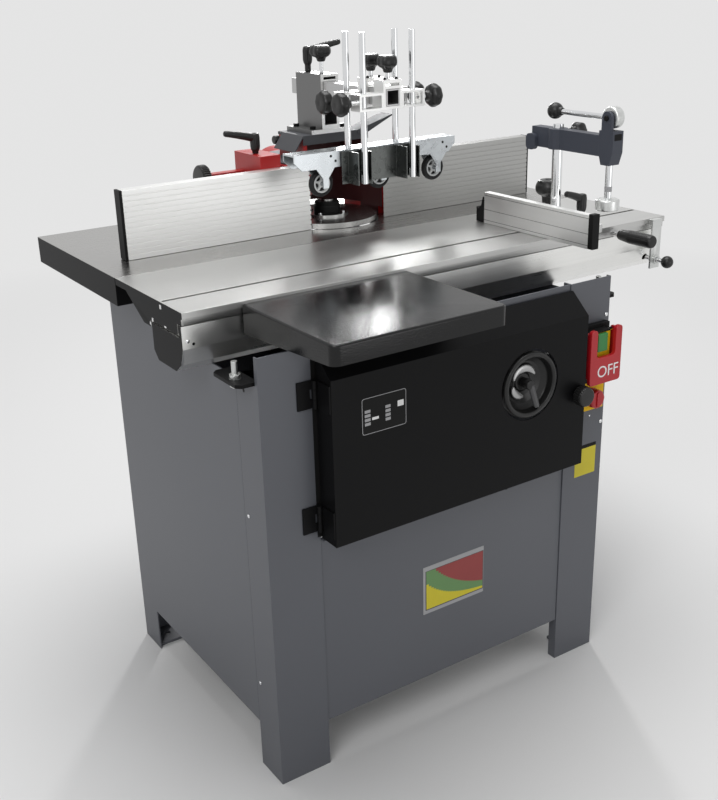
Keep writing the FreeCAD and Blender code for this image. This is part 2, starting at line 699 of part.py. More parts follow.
# Door: a folded box cover with a sloping top, hung on two hinges at its left.
door_back = s.cab_front - s.door_gap
door_front = s.cab_front - s.door_depth
door_knee = door_back - s.door_ledge
door_skin = prism(
    "X",
    [
        (door_front, s.door_bottom),
        (door_back, s.door_bottom),
        (door_back, s.door_top),
        (door_knee, s.door_top),
        (door_front, s.door_corner),
    ],
    (door_left, door_right),
)
door_space = prism(
    "X",
    [
        (door_front + s.door_sheet, s.door_bottom + s.door_sheet),
        (door_back, s.door_bottom + s.door_sheet),
        (door_back, s.door_top - s.door_sheet),
        (door_knee, s.door_top - s.door_sheet),
        (door_front + s.door_sheet, s.door_corner - s.door_sheet / 2),
    ],
    (door_left + s.door_sheet, door_right - s.door_sheet),
)
wheel_at = (s.wheel_x, s.wheel_z)
door_window = rod("Y", wheel_at, (door_front, door_front + s.door_sheet), s.door_window_r)
door_knob_at = (door_right - s.door_knob_in, s.door_knob_z)
door_knob_hole = rod(
    "Y", door_knob_at, (door_front, door_front + s.door_sheet), s.knob_stud_r + s.knob_hole_gap
)
door_cover = cut(door_skin, door_space, door_window, door_knob_hole)
hinge_x = door_left - s.hinge_out
hinge_y = s.cab_front - s.hinge_reach
hinge_at = (hinge_x, hinge_y)
fixed_leaves = []
straps = []
for low in (s.hinge_low, s.hinge_high):
    high = low + s.hinge_height
    mid = (low + s.hinge_knuckle + s.turn_gap, high - s.hinge_knuckle - s.turn_gap)
    leaf_y = (s.cab_front - s.hinge_leaf, s.cab_front)
    leaf_x = hinge_x - s.hinge_leaf_width
    root = hinge_x - s.hinge_r - s.hinge_pin_r
    pieces = [
        slab((leaf_x, root), leaf_y, (low, high)),
        rod("Z", hinge_at, (low, high), s.hinge_pin_r),
    ]
    for span in ((low, low + s.hinge_knuckle), (high - s.hinge_knuckle, high)):
        pieces.append(slab((root, hinge_x), leaf_y, span))
        pieces.append(rod("Z", hinge_at, span, s.hinge_r))
    fixed_leaves.append(fuse(*pieces))
    knuckle = rod("Z", hinge_at, mid, s.hinge_r)
    strap_x = (hinge_x + s.hinge_pin_r, door_left)
    strap_front = hinge_y - s.hinge_strap
    strap = slab(strap_x, (strap_front, hinge_y - s.hinge_r - s.turn_gap), (low, high))
    tongue = slab(strap_x, (strap_front, hinge_y), mid)
    pin_room = rod("Z", hinge_at, mid, s.hinge_pin_r + s.turn_gap)
    straps.append(cut(fuse(knuckle, strap, tongue), pin_room))
node("door", door_cover, *straps)
node("hinge_leaves", *fixed_leaves)

# Handwheel, its shaft with the bevel pinion, and the lock lever in its middle.
rim_back = s.wheel_front + s.wheel_rim_len
web_front = rim_back - s.wheel_web
wheel_profile = [
    (0, s.wheel_dish),
    (s.boss_r, s.wheel_dish),
    (s.boss_r, s.wheel_rim_len - s.wheel_web),
    (s.wheel_r - s.wheel_rim, s.wheel_rim_len - 2 * s.wheel_web),
    (s.wheel_r - s.wheel_rim, s.wheel_web),
    (s.wheel_r - s.wheel_rim / 2, 0),
    (s.wheel_r, s.wheel_web),
    (s.wheel_r, s.wheel_rim_len - s.wheel_web),
    (s.wheel_r - s.wheel_rim / 2, s.wheel_rim_len),
    (s.wheel_r - s.wheel_rim, s.wheel_rim_len - s.wheel_web),
    (s.boss_r, s.wheel_rim_len),
    (s.boss_r, s.boss_len),
    (0, s.boss_len),
]
wheel = turned("Y", wheel_at, s.wheel_front, wheel_profile)
shaft_start = s.wheel_front + s.boss_len
pinion_back = s.screw_y - s.gear_in
pinion_front = s.screw_y - s.gear_out
shaft_len = pinion_back - shaft_start
pinion_len = pinion_front - shaft_start
shaft_profile = [
    (0, 0),
    (s.shaft_r, 0),
    (s.shaft_r, pinion_len),
    (s.gear_out - s.mesh_gap, pinion_len),
    (s.gear_in - s.mesh_gap, shaft_len),
    (0, shaft_len),
]
node("handwheel", wheel, turned("Y", wheel_at, shaft_start, shaft_profile))
lock_back = s.wheel_front + s.wheel_dish - s.turn_gap
lock_hub = rod("Y", wheel_at, (lock_back - s.lock_hub, lock_back), s.lock_hub_r)
lock_arm = doc.addObject("Part::Box", "Slab")
bind(lock_arm, "Length", s.lock_arm)
bind(lock_arm, "Width", s.lock_hub / 2)
bind(lock_arm, "Height", s.lock_width)
lock_turn = FreeCAD.Rotation(FreeCAD.Vector(0, 1, 0), SIZES["lock_tilt"])
lock_arm.Placement = FreeCAD.Placement(FreeCAD.Vector(), lock_turn)
put(lock_arm, s.wheel_x, lock_back - s.lock_hub, s.wheel_z - s.lock_width / 2)
node("wheel_lock_lever", fuse(lock_hub, lock_arm))

# Lift gear: two columns under the table, tie plate with the screw's foot, cross bar.
tie_z = (s.column_low, s.column_low + s.tie_thick)
columns = []
for side in (-1, 1):
    spot = (s.spindle_x + side * s.column_x, s.spindle_y)
    columns.append(rod("Z", spot, (tie_z[1], plate_under), s.column_r))
post_x = around(s.wheel_x, s.screw_post / 2)
screw_foot_y = (s.screw_post_front, s.screw_y + s.gear_in)
screw_at = (s.wheel_x, s.screw_y)
shelf_span = (s.shelf_z, s.shelf_z + s.tie_thick)
tie = fuse(
    slab(around(s.spindle_x, s.tie_half), around(s.spindle_y, s.tie_depth / 2), tie_z),
    slab(post_x, (s.screw_post_front, s.spindle_y), tie_z),
)
upright_y = (s.screw_post_front, s.screw_post_front + s.tie_thick)
screw_upright = slab(post_x, upright_y, (tie_z[1], shelf_span[0]))
screw_foot = cut(
    slab(post_x, screw_foot_y, shelf_span),
    rod("Z", screw_at, shelf_span, s.journal_r + s.fit),
)
head_z = (plate_under - s.tie_thick, plate_under)
head_plate = cut(
    slab(around(s.wheel_x, s.screw_head / 2), around(s.screw_y, s.screw_head / 2), head_z),
    rod("Z", screw_at, head_z, s.journal_r + s.fit),
)
cross_y = (s.cab_front + s.bar_back, s.cab_front + s.bar_back + s.bar_thick)
cross_bar = cut(
    slab(
        (s.cab_left + s.post_sheet, cab_right - s.post_sheet),
        cross_y,
        around(s.wheel_z, s.bar_height / 2),
    ),
    rod("Y", wheel_at, cross_y, s.shaft_r + s.fit),
)
node("lift_guide", *columns, tie, screw_upright, screw_foot, head_plate, cross_bar)

gear_low = s.wheel_z - s.gear_out - s.shelf_z
gear_high = s.wheel_z - s.gear_in - s.shelf_z
screw_end = head_z[0] - s.shelf_z
screw_profile = [
    (0, 0),
    (s.journal_r, 0),
    (s.journal_r, s.tie_thick + s.turn_gap),
    (s.screw_r, s.tie_thick + s.turn_gap),
    (s.screw_r, gear_low),
    (s.gear_out - s.mesh_gap, gear_low),
    (s.gear_in - s.mesh_gap, gear_high),
    (s.screw_r, gear_high),
    (s.screw_r, screw_end - s.turn_gap),
    (s.journal_r, screw_end - s.turn_gap),
    (s.journal_r, screw_end + s.tie_thick - s.turn_gap),
    (0, screw_end + s.tie_thick - s.turn_gap),
]
node("lift_screw", turned("Z", screw_at, s.shelf_z, screw_profile))

# Carriage: one casting with the quill, column bosses, lift nut and motor plate.
quill_z = (s.quill_low, s.quill_top)
solids = [rod("Z", spindle_at, quill_z, s.quill_r)]
bores = [rod("Z", spindle_at, quill_z, s.quill_bore)]
for side in (-1, 1):
    spot = (s.spindle_x + side * s.column_x, s.spindle_y)
    solids.append(rod("Z", spot, quill_z, s.column_boss))
    bores.append(rod("Z", spot, quill_z, s.column_r + s.fit))
solids.append(
    slab(around(s.spindle_x, s.column_x), around(s.spindle_y, s.quill_web / 2), quill_z)
)
nut_z = (s.nut_low, s.nut_low + s.nut_height)
solids.append(
    slab(around(s.wheel_x, s.nut_width / 2), (s.nut_front, s.spindle_y), nut_z)
)
bores.append(rod("Z", screw_at, nut_z, s.screw_r + s.turn_gap))
plate_z = (s.quill_low, s.quill_low + s.motor_plate)
plate_y = (s.motor_y - s.motor_r - s.motor_edge, s.spindle_y)
motor_at = (s.motor_x, s.motor_y)
solids.append(
    slab((s.motor_x - s.motor_r - s.motor_edge, post_x[0] - s.post_gap), plate_y, plate_z)
)
bores.append(rod("Z", motor_at, plate_z, s.motor_hole_r))
node("quill_housing", cut(fuse(*solids), *bores))

bearing_low = (s.quill_low + s.bearing_in, s.quill_low + s.bearing_in + s.bearing_width)
bearing_high = (s.quill_top - s.bearing_in - s.bearing_width, s.quill_top - s.bearing_in)
bearings = []
for span in (bearing_low, bearing_high):
    ring = rod("Z", spindle_at, span, s.quill_bore)
    bearings.append(cut(ring, rod("Z", spindle_at, span, s.spindle_r + s.fit)))
node("quill_bearings", *bearings)

motor_z = plate_z[1]
motor_profile = [
    (0, s.motor_cap),
    (s.motor_hole_r, s.motor_cap),
    (s.motor_hole_r, 0),
    (s.motor_r, 0),
    (s.motor_r, s.motor_len - s.motor_cap),
    (s.motor_cap_r, s.motor_len),
    (0, s.motor_len),
]
node("motor_body", turned("Z", motor_at, motor_z, motor_profile))


def pulley(radius, bore):
    """Flat belt pulley with two lips, as a ring profile above its lower face."""
    top = s.pulley_height
    lip = s.pulley_flange
    return [
        (bore, 0),
        (radius + s.pulley_lip, 0),
        (radius + s.pulley_lip, lip),
        (radius, lip),
        (radius, top - lip),
        (radius + s.pulley_lip, top - lip),
        (radius + s.pulley_lip, top),
        (bore, top),
    ]


rotor_low = s.shaft_low
rotor_top = motor_z + s.motor_cap - s.turn_gap
rotor = rod("Z", motor_at, (rotor_low, rotor_top), s.motor_shaft_r)
motor_pulley = turned("Z", motor_at, s.pulley_z, pulley(s.motor_pulley_r, s.motor_shaft_r))
node("motor_pulley", rotor, motor_pulley)

# Belt: two arcs and two tangents, swept from the same pulley radii.
home = FreeCAD.Vector(s.spindle_x.number, s.spindle_y.number, 0)
away = FreeCAD.Vector(s.motor_x.number, s.motor_y.number, 0)
centre_gap = (away - home).Length
heading = math.atan2(away.y - home.y, away.x - home.x)


def belt_wire(extra):
    small = s.spindle_pulley_r.number + extra
    large = s.motor_pulley_r.number + extra
    lean = math.acos((small - large) / centre_gap)
    ends = []
    for angle in (heading + lean, heading - lean):
        ray = FreeCAD.Vector(math.cos(angle), math.sin(angle), 0)
        ends.append((home + ray * small, away + ray * large))
    back = FreeCAD.Vector(math.cos(heading), math.sin(heading), 0)
    edges = [
        Part.LineSegment(ends[0][0], ends[0][1]).toShape(),
        Part.Arc(ends[0][1], away + back * large, ends[1][1]).toShape(),
        Part.LineSegment(ends[1][1], ends[1][0]).toShape(),
        Part.Arc(ends[1][0], home - back * small, ends[0][0]).toShape(),
    ]
    return Part.Wire(edges)


belt_low = s.pulley_z + s.pulley_flange + s.belt_inset
belt_height = s.pulley_height - 2 * (s.pulley_flange + s.belt_inset)
rise = FreeCAD.Vector(0, 0, belt_height.number)
outer_belt = Part.Face(belt_wire((s.belt_gap + s.belt_thick).number)).extrude(rise)
inner_belt = Part.Face(belt_wire(s.belt_gap.number)).extrude(rise)
belt = doc.addObject("Part::Feature", "Belt")
belt.Shape = outer_belt.cut(inner_belt)
put(belt, 0, 0, belt_low)
node("drive_belt", belt)

# Spindle with its pulley, the disc that it carries, collars and nut.
seat = s.disc_top - s.shaft_low
spindle_profile = [
    (0, 0),
    (s.tail_r, 0),
    (s.tail_r, s.quill_low - s.shaft_low),
    (s.spindle_r, s.quill_low - s.shaft_low),
    (s.spindle_r, s.disc_top - s.disc_thick - s.shaft_low),
    (s.nose_r, s.disc_top - s.disc_thick - s.shaft_low),
    (s.nose_r, s.nose_top - s.shaft_low),
    (0, s.nose_top - s.shaft_low),
]
spindle = turned("Z", spindle_at, s.shaft_low, spindle_profile)
spindle_pulley = turned("Z", spindle_at, s.pulley_z, pulley(s.spindle_pulley_r, s.tail_r))
node("spindle_shaft", spindle, spindle_pulley)
disc_profile = [
    (s.nose_r, -s.disc_thick),
    (s.disc_r, -s.disc_thick),
    (s.disc_r, 0),
    (s.flange_r, 0),
    (s.flange_r, s.flange_thick),
    (s.nose_r, s.flange_thick),
]
node("spindle_disc", turned("Z", spindle_at, s.disc_top, disc_profile))
collars = []
ring_z = s.disc_top + s.flange_thick
for step in range(2):
    low = ring_z + step * s.collar_height
    span = (low, low + s.collar_height)
    collars.append(
        cut(rod("Z", spindle_at, span, s.collar_r), rod("Z", spindle_at, span, s.nose_r))
    )
nut_span = (ring_z + 2 * s.collar_height, ring_z + 2 * s.collar_height + s.spindle_nut)
collars.append(
    cut(
        rod("Z", spindle_at, nut_span, s.spindle_nut_r),
        rod("Z", spindle_at, nut_span, s.nose_r),
    )
)
node("spacer_rings", *collars)

# Mitre fence: body that turns on a pin in the groove, fence on a key, knob and lever.
body_low = s.table_height + s.ride
body_high = body_low + s.mitre_body
mitre_back_x = s.mitre_left + s.mitre_thick
body_x = (mitre_back_x + s.key_gap, s.mitre_right)
pivot_at = (s.mitre_x, s.groove_y)
clamp_at = (s.clamp_x, s.clamp_y)
key_y = around(s.clamp_y, s.mitre_key / 2)
upright_x = (body_x[0], body_x[0] + s.mitre_upright)
slot_half = s.mitre_slot / 2
mitre_lever_at = (s.mitre_lever_x, s.mitre_lever_y)
stud_hole = s.knob_stud_r + s.knob_hole_gap
node(
    "mitre_body",
    cut(
        fuse(
            slab(body_x, (s.mitre_body_front, s.mitre_body_back), (body_low, body_high)),
            slab(upright_x, key_y, (body_low, body_low + s.mitre_rise)),
            slab(
                (mitre_back_x - s.mitre_slot_deep + s.key_gap, upright_x[1]),
                key_y,
                around(s.mitre_slot_z, slot_half - s.key_gap),
            ),
            rod("Z", clamp_at, (body_low, body_high + s.clamp_boss), s.clamp_boss_r),
            rod("Z", pivot_at, (s.table_height - s.pivot_deep, body_high), s.pivot_r),
        ),
        rod("Z", clamp_at, (body_high, body_high + s.clamp_boss), s.clamp_r + s.clamp_gap),
        rod("Z", mitre_lever_at, (body_high - s.knob_stud, body_high), stud_hole),
        rod("Z", pivot_at, (body_high - s.knob_stud, body_high), stud_hole),
    ),
)
mitre_y = (s.mitre_front, s.mitre_back)
mitre_bar = slab((s.mitre_left, mitre_back_x), mitre_y, (body_low, s.mitre_top))
mitre_groove = slab(
    (mitre_back_x - s.mitre_slot_deep, mitre_back_x),
    mitre_y,
    around(s.mitre_slot_z, slot_half),
)
node("mitre_fence", cut(mitre_bar, mitre_groove))


def stud_start(sign):
    """Foot of a screwed-in knob: the stud in its hole and the shoulder above the face."""
    return [
        (0, sign * (s.turn_gap - s.knob_stud)),
        (s.knob_stud_r, sign * (s.turn_gap - s.knob_stud)),
        (s.knob_stud_r, sign * s.turn_gap),
    ]


mushroom_neck = s.mushroom_top - s.mushroom - body_high
mushroom_full = s.mushroom_top - body_high
node(
    "mitre_knob",
    turned(
        "Z",
        pivot_at,
        body_high,
        stud_start(1)
        + [
            (s.mushroom_stem, s.turn_gap),
            (s.mushroom_stem, mushroom_neck),
            (s.mushroom_r - s.knob_edge, mushroom_neck),
            (s.mushroom_r, mushroom_neck + s.knob_edge),
            (s.mushroom_r, mushroom_full - 2 * s.knob_edge),
            (s.mushroom_r - 2 * s.knob_edge, mushroom_full),
            (0, mushroom_full),
        ],
    ),
)


def lever(at, face, height, length, way):
    """Clamping lever: hub on a stud with a rising arm towards -X or +X."""
    hub = turned(
        "Z",
        at,
        face,
        stud_start(1)
        + [
            (s.lever_hub_r, s.turn_gap),
            (s.lever_hub_r, height),
            (0, height),
        ],
    )
    top = face + height
    tip = at[0] + way * length
    points = [
        (at[0], top - s.lever_arm - s.lever_root),
        (tip, top + s.lever_rise - s.lever_arm),
        (tip, top + s.lever_rise),
        (at[0], top),
    ]
    arm = prism("Y", points, around(at[1], s.lever_tip / 2))
    return fuse(hub, arm)


node(
    "mitre_lever",
    lever(mitre_lever_at, body_high, s.mitre_lever_top - body_high, s.mitre_lever_len, -1),
)

# Hold-down clamp: post, cast arm, eccentric lever with ball, plunger with foot.
post_low = body_high + s.turn_gap
node("clamp_post", rod("Z", clamp_at, (post_low, s.clamp_top), s.clamp_r))
head_x = around(s.clamp_x, s.head_width / 2)
head_span = around(s.head_y, s.head_depth / 2)
head_at = (s.clamp_x, s.head_y)
ear_x = (head_x[0], head_x[0] + s.ear_thick)
ear_y = around(s.head_y, s.ear_depth / 2)
head_knee = s.head_low + s.head_taper
head_shape = [
    (s.head_y - s.head_tip, s.head_low),
    (s.head_y + s.head_tip, s.head_low),
    (head_span[1], head_knee),
    (head_span[1], s.head_high),
    (head_span[0], s.head_high),
    (head_span[0], head_knee),
]
node(
    "clamp_arm",
    cut(
        fuse(
            slab(
                around(s.clamp_x, s.arm_width / 2),
                (s.head_y, s.clamp_y + s.arm_tail),
                (s.arm_low, s.arm_high),
            ),
            prism("X", head_shape, head_x),
            slab(ear_x, ear_y, (s.head_high, s.cam_z)),
            rod("X", (s.head_y, s.cam_z), ear_x, s.ear_depth / 2),
            rod("X", (s.head_y, s.cam_z), head_x, s.cam_pin_r),
            rod("Z", clamp_at, (s.arm_low, s.arm_high), s.clamp_boss_r),
        ),
        rod("Z", clamp_at, (s.arm_low, s.arm_high), s.clamp_r + s.clamp_gap),
        rod("Z", head_at, (s.head_low, s.head_high), s.plunger_r + s.clamp_gap),
    ),
)
cam_x = (ear_x[1] + s.cam_gap, head_x[1])
cam = rod("X", (s.head_y, s.cam_z), cam_x, s.cam_r)
cam_rod = rod("Y", (s.clamp_x, s.cam_z), (s.head_y, s.ball_y), s.lever_rod_r)
cam_ball = ball(s.clamp_x, s.ball_y, s.cam_z, s.ball_r)
cam_bore = rod("X", (s.head_y, s.cam_z), cam_x, s.cam_pin_r + s.clamp_gap)
node("clamp_lever", cut(fuse(cam, cam_rod, cam_ball), cam_bore))
foot_top = s.foot_height
plunger_len = s.plunger_top - s.foot_low
node(
    "clamp_plunger",
    turned(
        "Z",
        head_at,
        s.foot_low,
        [
            (0, 0),
            (s.foot_r, 0),
            (s.foot_r, foot_top),
            (s.plunger_r, foot_top + s.knob_edge),
            (s.plunger_r, plunger_len),
            (0, plunger_len),
        ],
    ),
)

# Switch: box on the right post, key block with a start button, stop paddle; below it a plate
# with the main switch's rotary knob.
box_front = s.cab_front - s.switch_depth
box_x = (s.switch_left, s.switch_left + s.switch_width)
dial_at = (s.dial_x, s.dial_z)
switch_base = slab(box_x, (box_front, s.cab_front), (s.switch_low, s.switch_top))
key_front = box_front - s.key_depth
key_x = (s.key_left, s.key_left + s.key_width)
button_mid = (key_x[0] + key_x[1]) / 2
button_x = around(button_mid, s.button_width / 2)
button_z = (s.button_low, s.button_low + s.button_height)
recess_x = (button_x[0] - s.button_gap, button_x[1] + s.button_gap)
recess_z = (button_z[0] - s.button_gap, button_z[1] + s.button_gap)
paddle_x = (s.paddle_left, s.paddle_left + s.paddle_width)
key_block = cut(
    fuse(
        slab(key_x, (key_front, box_front), (s.key_low, s.key_top)),
        rod("X", (s.pivot_y, s.pivot_z), paddle_x, s.pivot_pin_r),
    ),
    slab(recess_x, (key_front, key_front + s.button_sink), recess_z),
)
dial_plate = slab(
    (s.dial_plate_left, s.dial_plate_left + s.dial_plate_width),
    (s.cab_front - s.dial_plate, s.cab_front),
    (s.dial_plate_low, s.switch_low),
)
node("switch_box", switch_base, key_block, dial_plate)
button_back = key_front + s.button_sink - s.button_out
node("on_button", slab(button_x, (button_back - s.button_out - s.button_out / 2, button_back), button_z))
paddle_y = (s.paddle_front, s.paddle_front + s.paddle_thick)
skirt_y = (s.paddle_front, s.skirt_back)
skirt_z = (s.skirt_low, s.skirt_top)
node(
    "stop_paddle",
    cut(
        fuse(
            slab(paddle_x, paddle_y, (s.paddle_low, s.paddle_top)),
            slab((paddle_x[0], paddle_x[0] + s.paddle_skirt), skirt_y, skirt_z),
            slab((paddle_x[1] - s.paddle_skirt, paddle_x[1]), skirt_y, skirt_z),
        ),
        slab(key_x, paddle_y, (s.window_low, s.paddle_top)),
        rod("X", (s.pivot_y, s.pivot_z), paddle_x, s.pivot_pin_r + s.turn_gap),
    ),
)
dial_full = s.cab_front - s.dial_plate - s.dial_front
node(
    "rotary_knob",
    turned(
        "Y",
        dial_at,
        s.dial_front,
        [
            (0, 0),
            (s.dial_r, 0),
            (s.dial_r, s.dial_len),
            (s.dial_neck_r, s.dial_len),
            (s.dial_neck_r, dial_full - s.dial_flange),
            (s.dial_r, dial_full - s.dial_flange),
            (s.dial_r, dial_full - s.turn_gap),
            (0, dial_full - s.turn_gap),
        ],
    ),
)


# Fence plates: ribbed face, bevelled inner end, groove in the back for the carrier's key.
fence_low = s.table_height + s.ride
fence_back = s.fence_y + s.fence_thick
fence_step = (s.fence_top - fence_low) / s.rib_count


def fence_plate(end, tip, way):
    points = [
        (end, s.fence_y),
        (tip, s.fence_y),
        (tip - way * s.fence_thick, fence_back),
        (end, fence_back),
    ]
    wide = (end, tip) if way > 0 else (tip, end)
    tools = [slab(wide, (fence_back - s.fence_slot_deep, fence_back), fence_slot_span)]
    for rib in range(1, SIZES["rib_count"]):
        line = fence_low + rib * fence_step
        tools.append(
            slab(wide, (s.fence_y, s.fence_y + s.rib_deep), around(line, s.rib_groove / 2))
        )
    return cut(prism("Z", points, (fence_low, s.fence_top)), *tools)


fence_slot_span = (s.fence_slot_z, s.fence_slot_z + s.fence_slot)
node("left_fence", fence_plate(s.left_end, s.left_tip, 1))
node("right_fence", fence_plate(s.right_end, s.right_tip, -1))

# Hood: chamber round the disc on two wings, right carrier cast on, dust port behind.
hood_half = s.chamber_r + s.hood_wall
hood_front = fence_back + s.ride
key_span = (fence_back - s.fence_slot_deep + s.key_gap, hood_front)
key_z = (s.fence_slot_z + s.key_gap, s.fence_slot_z + s.fence_slot - s.key_gap)
carrier_in = s.carrier_out - s.carrier_width
carrier_y = (hood_front, hood_front + s.carrier_depth)
chamber_z = (s.hood_low, s.hood_top - s.hood_cap)
port_at = (s.spindle_x, s.port_z)
chamber_at = (s.spindle_x, s.chamber_back)
wing_y = (s.wing_front, s.wing_back)
hood_body = fuse(
    slab(around(s.spindle_x, hood_half), (hood_front, s.chamber_back), (s.hood_low, s.hood_top)),
    rod("Z", chamber_at, (s.hood_low, s.hood_top), hood_half),
    slab(
        (s.dome_left, s.dome_right), (s.dome_front, s.dome_back), (s.hood_top, s.dome_top)
    ),
    slab((-s.carrier_out, -s.chamber_r), wing_y, (body_low, s.wing_top)),
    slab((s.chamber_r, s.carrier_out), wing_y, (body_low, s.wing_top)),
    slab((carrier_in, s.carrier_out), carrier_y, (body_low, s.right_top)),
    slab((s.chamber_r, carrier_in), (s.spindle_y, carrier_y[1]), (s.hood_low, s.right_top)),
    slab(
        (carrier_in + s.ear_thick, s.carrier_out - s.ear_thick),
        (key_span[0], carrier_y[1]),
        key_z,
    ),
    rod("Y", port_at, (s.chamber_back, s.port_start), s.port_collar_r),
    rod("Y", port_at, (s.chamber_back, s.port_back), s.port_r),
)
node(
    "hood",
    cut(
        hood_body,
        slab(
            around(s.spindle_x, hood_half),
            (s.chamber_back - hood_half, hood_front),
            (s.hood_low, s.hood_top),
        ),
        rod("Z", chamber_at, (body_low, chamber_z[1]), s.chamber_r),
        slab(
            around(s.spindle_x, s.chamber_r),
            (hood_front, s.chamber_back),
            (body_low, chamber_z[1]),
        ),
        slab(
            (s.dome_left + s.dome_wall, s.dome_right - s.dome_wall),
            (hood_front, s.dome_back - s.dome_wall),
            (chamber_z[1], s.dome_top - s.dome_wall),
        ),
        rod("Y", port_at, (s.chamber_back, s.port_back), s.port_r - s.port_wall),
    ),
)

# Left carrier with its fine-adjusting knob and clamping lever.
carrier_low = s.wing_top + s.ride
adjust_z = (s.bar_low, s.bar_low + s.adjust_bar)
adjust_at = (s.adjust_y, (adjust_z[0] + adjust_z[1]) / 2)
adjust_left = -s.carrier_out - s.adjust_reach
lever_at = (s.carrier_lever_x, s.carrier_lever_y)
node(
    "left_carrier",
    cut(
        fuse(
            slab((-s.carrier_out, -carrier_in), carrier_y, (carrier_low, s.carrier_top)),
            slab(
                (-s.carrier_out + s.ear_thick, -carrier_in - s.ear_thick),
                (key_span[0], carrier_y[1]),
                key_z,
            ),
            slab((adjust_left, -s.carrier_out), around(s.adjust_y, s.adjust_bar / 2), adjust_z),
        ),
        rod("Z", lever_at, (s.carrier_top - s.knob_stud, s.carrier_top), stud_hole),
        rod("X", adjust_at, (adjust_left, adjust_left + s.knob_stud), stud_hole),
    ),
)
node(
    "micro_knob",
    turned(
        "X",
        adjust_at,
        adjust_left,
        stud_start(-1)
        + [
            (s.adjust_stud_r, -s.turn_gap),
            (s.adjust_stud_r, -s.knob_edge),
            (s.adjust_r, -s.knob_edge),
            (s.adjust_r, -s.adjust_len),
            (0, -s.adjust_len),
        ],
    ),
)
node("carrier_lever", lever(lever_at, s.carrier_top, s.lever_hub, s.carrier_lever_len, -1))

# Lid on the hood: plate, wing bent down at the left, wing rising at the right.
lid_z = (s.dome_top, s.dome_top + s.lid_thick)
lid_back = s.dome_back
lid_wing_y = (s.lid_front, s.lid_front + s.lid_wing)
left_wing = prism(
    "Y",
    [
        (s.lid_left, lid_z[1]),
        (s.lid_left - s.lid_lean, lid_z[1] - s.lid_drop),
        (s.lid_left - s.lid_lean + s.lid_sheet, lid_z[1] - s.lid_drop),
        (s.lid_left + s.lid_sheet, lid_z[1]),
    ],
    lid_wing_y,
)
right_wing = prism(
    "Y",
    [
        (s.flap_start, lid_z[0]),
        (s.lid_right, lid_z[0]),
        (s.flap_end, lid_z[1] + s.flap_rise - s.lid_thick / 2),
        (s.flap_end, lid_z[1] + s.flap_rise),
        (s.flap_start, lid_z[1]),
    ],
    (s.flap_front, s.flap_front + s.flap_depth),
)
lid_plate = slab((s.lid_left, s.lid_right), (s.lid_front, lid_back), lid_z)
lid_skirt = slab(
    (s.lid_left, s.lid_right),
    (s.lid_front, s.lid_front + s.lid_sheet),
    (lid_z[0] - s.lid_skirt, lid_z[0]),
)
node("hood_lid", fuse(lid_plate, lid_skirt, left_wing, right_wing))

# Mast: foot plate with screws, block with the tube's square hole, pocket and slot.
base_z = (lid_z[1], lid_z[1] + s.base_thick)
tube_z = (s.tube_low, s.tube_low + 2 * s.tube_half)
tube_room = s.tube_half + s.tube_gap
room_z = (tube_z[0] - s.tube_gap, tube_z[1] + s.tube_gap)
mast_y = (s.mast_front, s.mast_back)
mast_x = around(s.spindle_x, s.mast_half)
mast_knob_at = (s.spindle_x, s.mast_knob_y)
mast_lever_at = (s.mast_lever_x, s.mast_lever_y)
mast_foot = slab(
    around(s.spindle_x, s.base_half),
    (s.base_front, s.base_front + s.base_depth),
    base_z,
)
mast = cut(
    slab(mast_x, mast_y, (base_z[1], s.mast_top)),
    slab(around(s.spindle_x, tube_room), mast_y, room_z),
    slab(
        around(s.spindle_x, s.mast_pocket),
        (s.mast_front, s.mast_front + s.mast_pocket_deep),
        (s.mast_pocket_low, s.mast_pocket_top),
    ),
    slab(
        around(s.spindle_x, s.mast_pocket), mast_y, (s.mast_slot_z, s.mast_slot_z + s.mast_slot)
    ),
    rod("Z", mast_knob_at, (s.mast_top - s.mast_slot, s.mast_top), stud_hole),
    rod("Z", mast_lever_at, (s.mast_top - s.mast_slot, s.mast_top), stud_hole),
)
screws = []
for side in (-1, 1):
    for y in (s.base_front + 3 * s.screw_cap, s.base_front + s.base_depth - 3 * s.screw_cap):
        spot = (s.spindle_x + side * (s.base_half - 2 * s.screw_cap_r), y)
        screws.append(rod("Z", spot, (base_z[1], base_z[1] + s.screw_cap), s.screw_cap_r))
node("column", mast_foot, mast, *screws)


def star_knob(axis, at, face, sign, radius, neck):
    """Round plastic knob on a stud; sign gives the way that it points along the axis."""
    full = neck + s.knob_head
    return turned(
        axis,
        at,
        face,
        stud_start(sign)
        + [
            (s.knob_stem_r, sign * s.turn_gap),
            (s.knob_stem_r, sign * neck),
            (radius - s.knob_edge, sign * neck),
            (radius, sign * (neck + s.knob_edge)),
            (radius, sign * (full - s.knob_edge)),
            (radius - s.knob_edge, sign * full),
            (0, sign * full),
        ],
    )


node(
    "column_knob",
    star_knob("Z", mast_knob_at, s.mast_top, 1, s.mast_knob_r, s.mast_knob_neck),
)
node("column_lever", lever(mast_lever_at, s.mast_top, s.mast_lever_hub, s.mast_lever_len, 1))
node(
    "door_knob",
    star_knob("Y", door_knob_at, door_front, -1, s.door_knob_r, s.door_knob_neck),
)

tube_span = (s.tube_front, s.tube_back)
tube = slab(around(s.spindle_x, s.tube_half), tube_span, tube_z)
tube_hollow = slab(
    around(s.spindle_x, s.tube_half - s.tube_wall),
    tube_span,
    (tube_z[0] + s.tube_wall, tube_z[1] - s.tube_wall),
)
node("arm", cut(tube, tube_hollow))


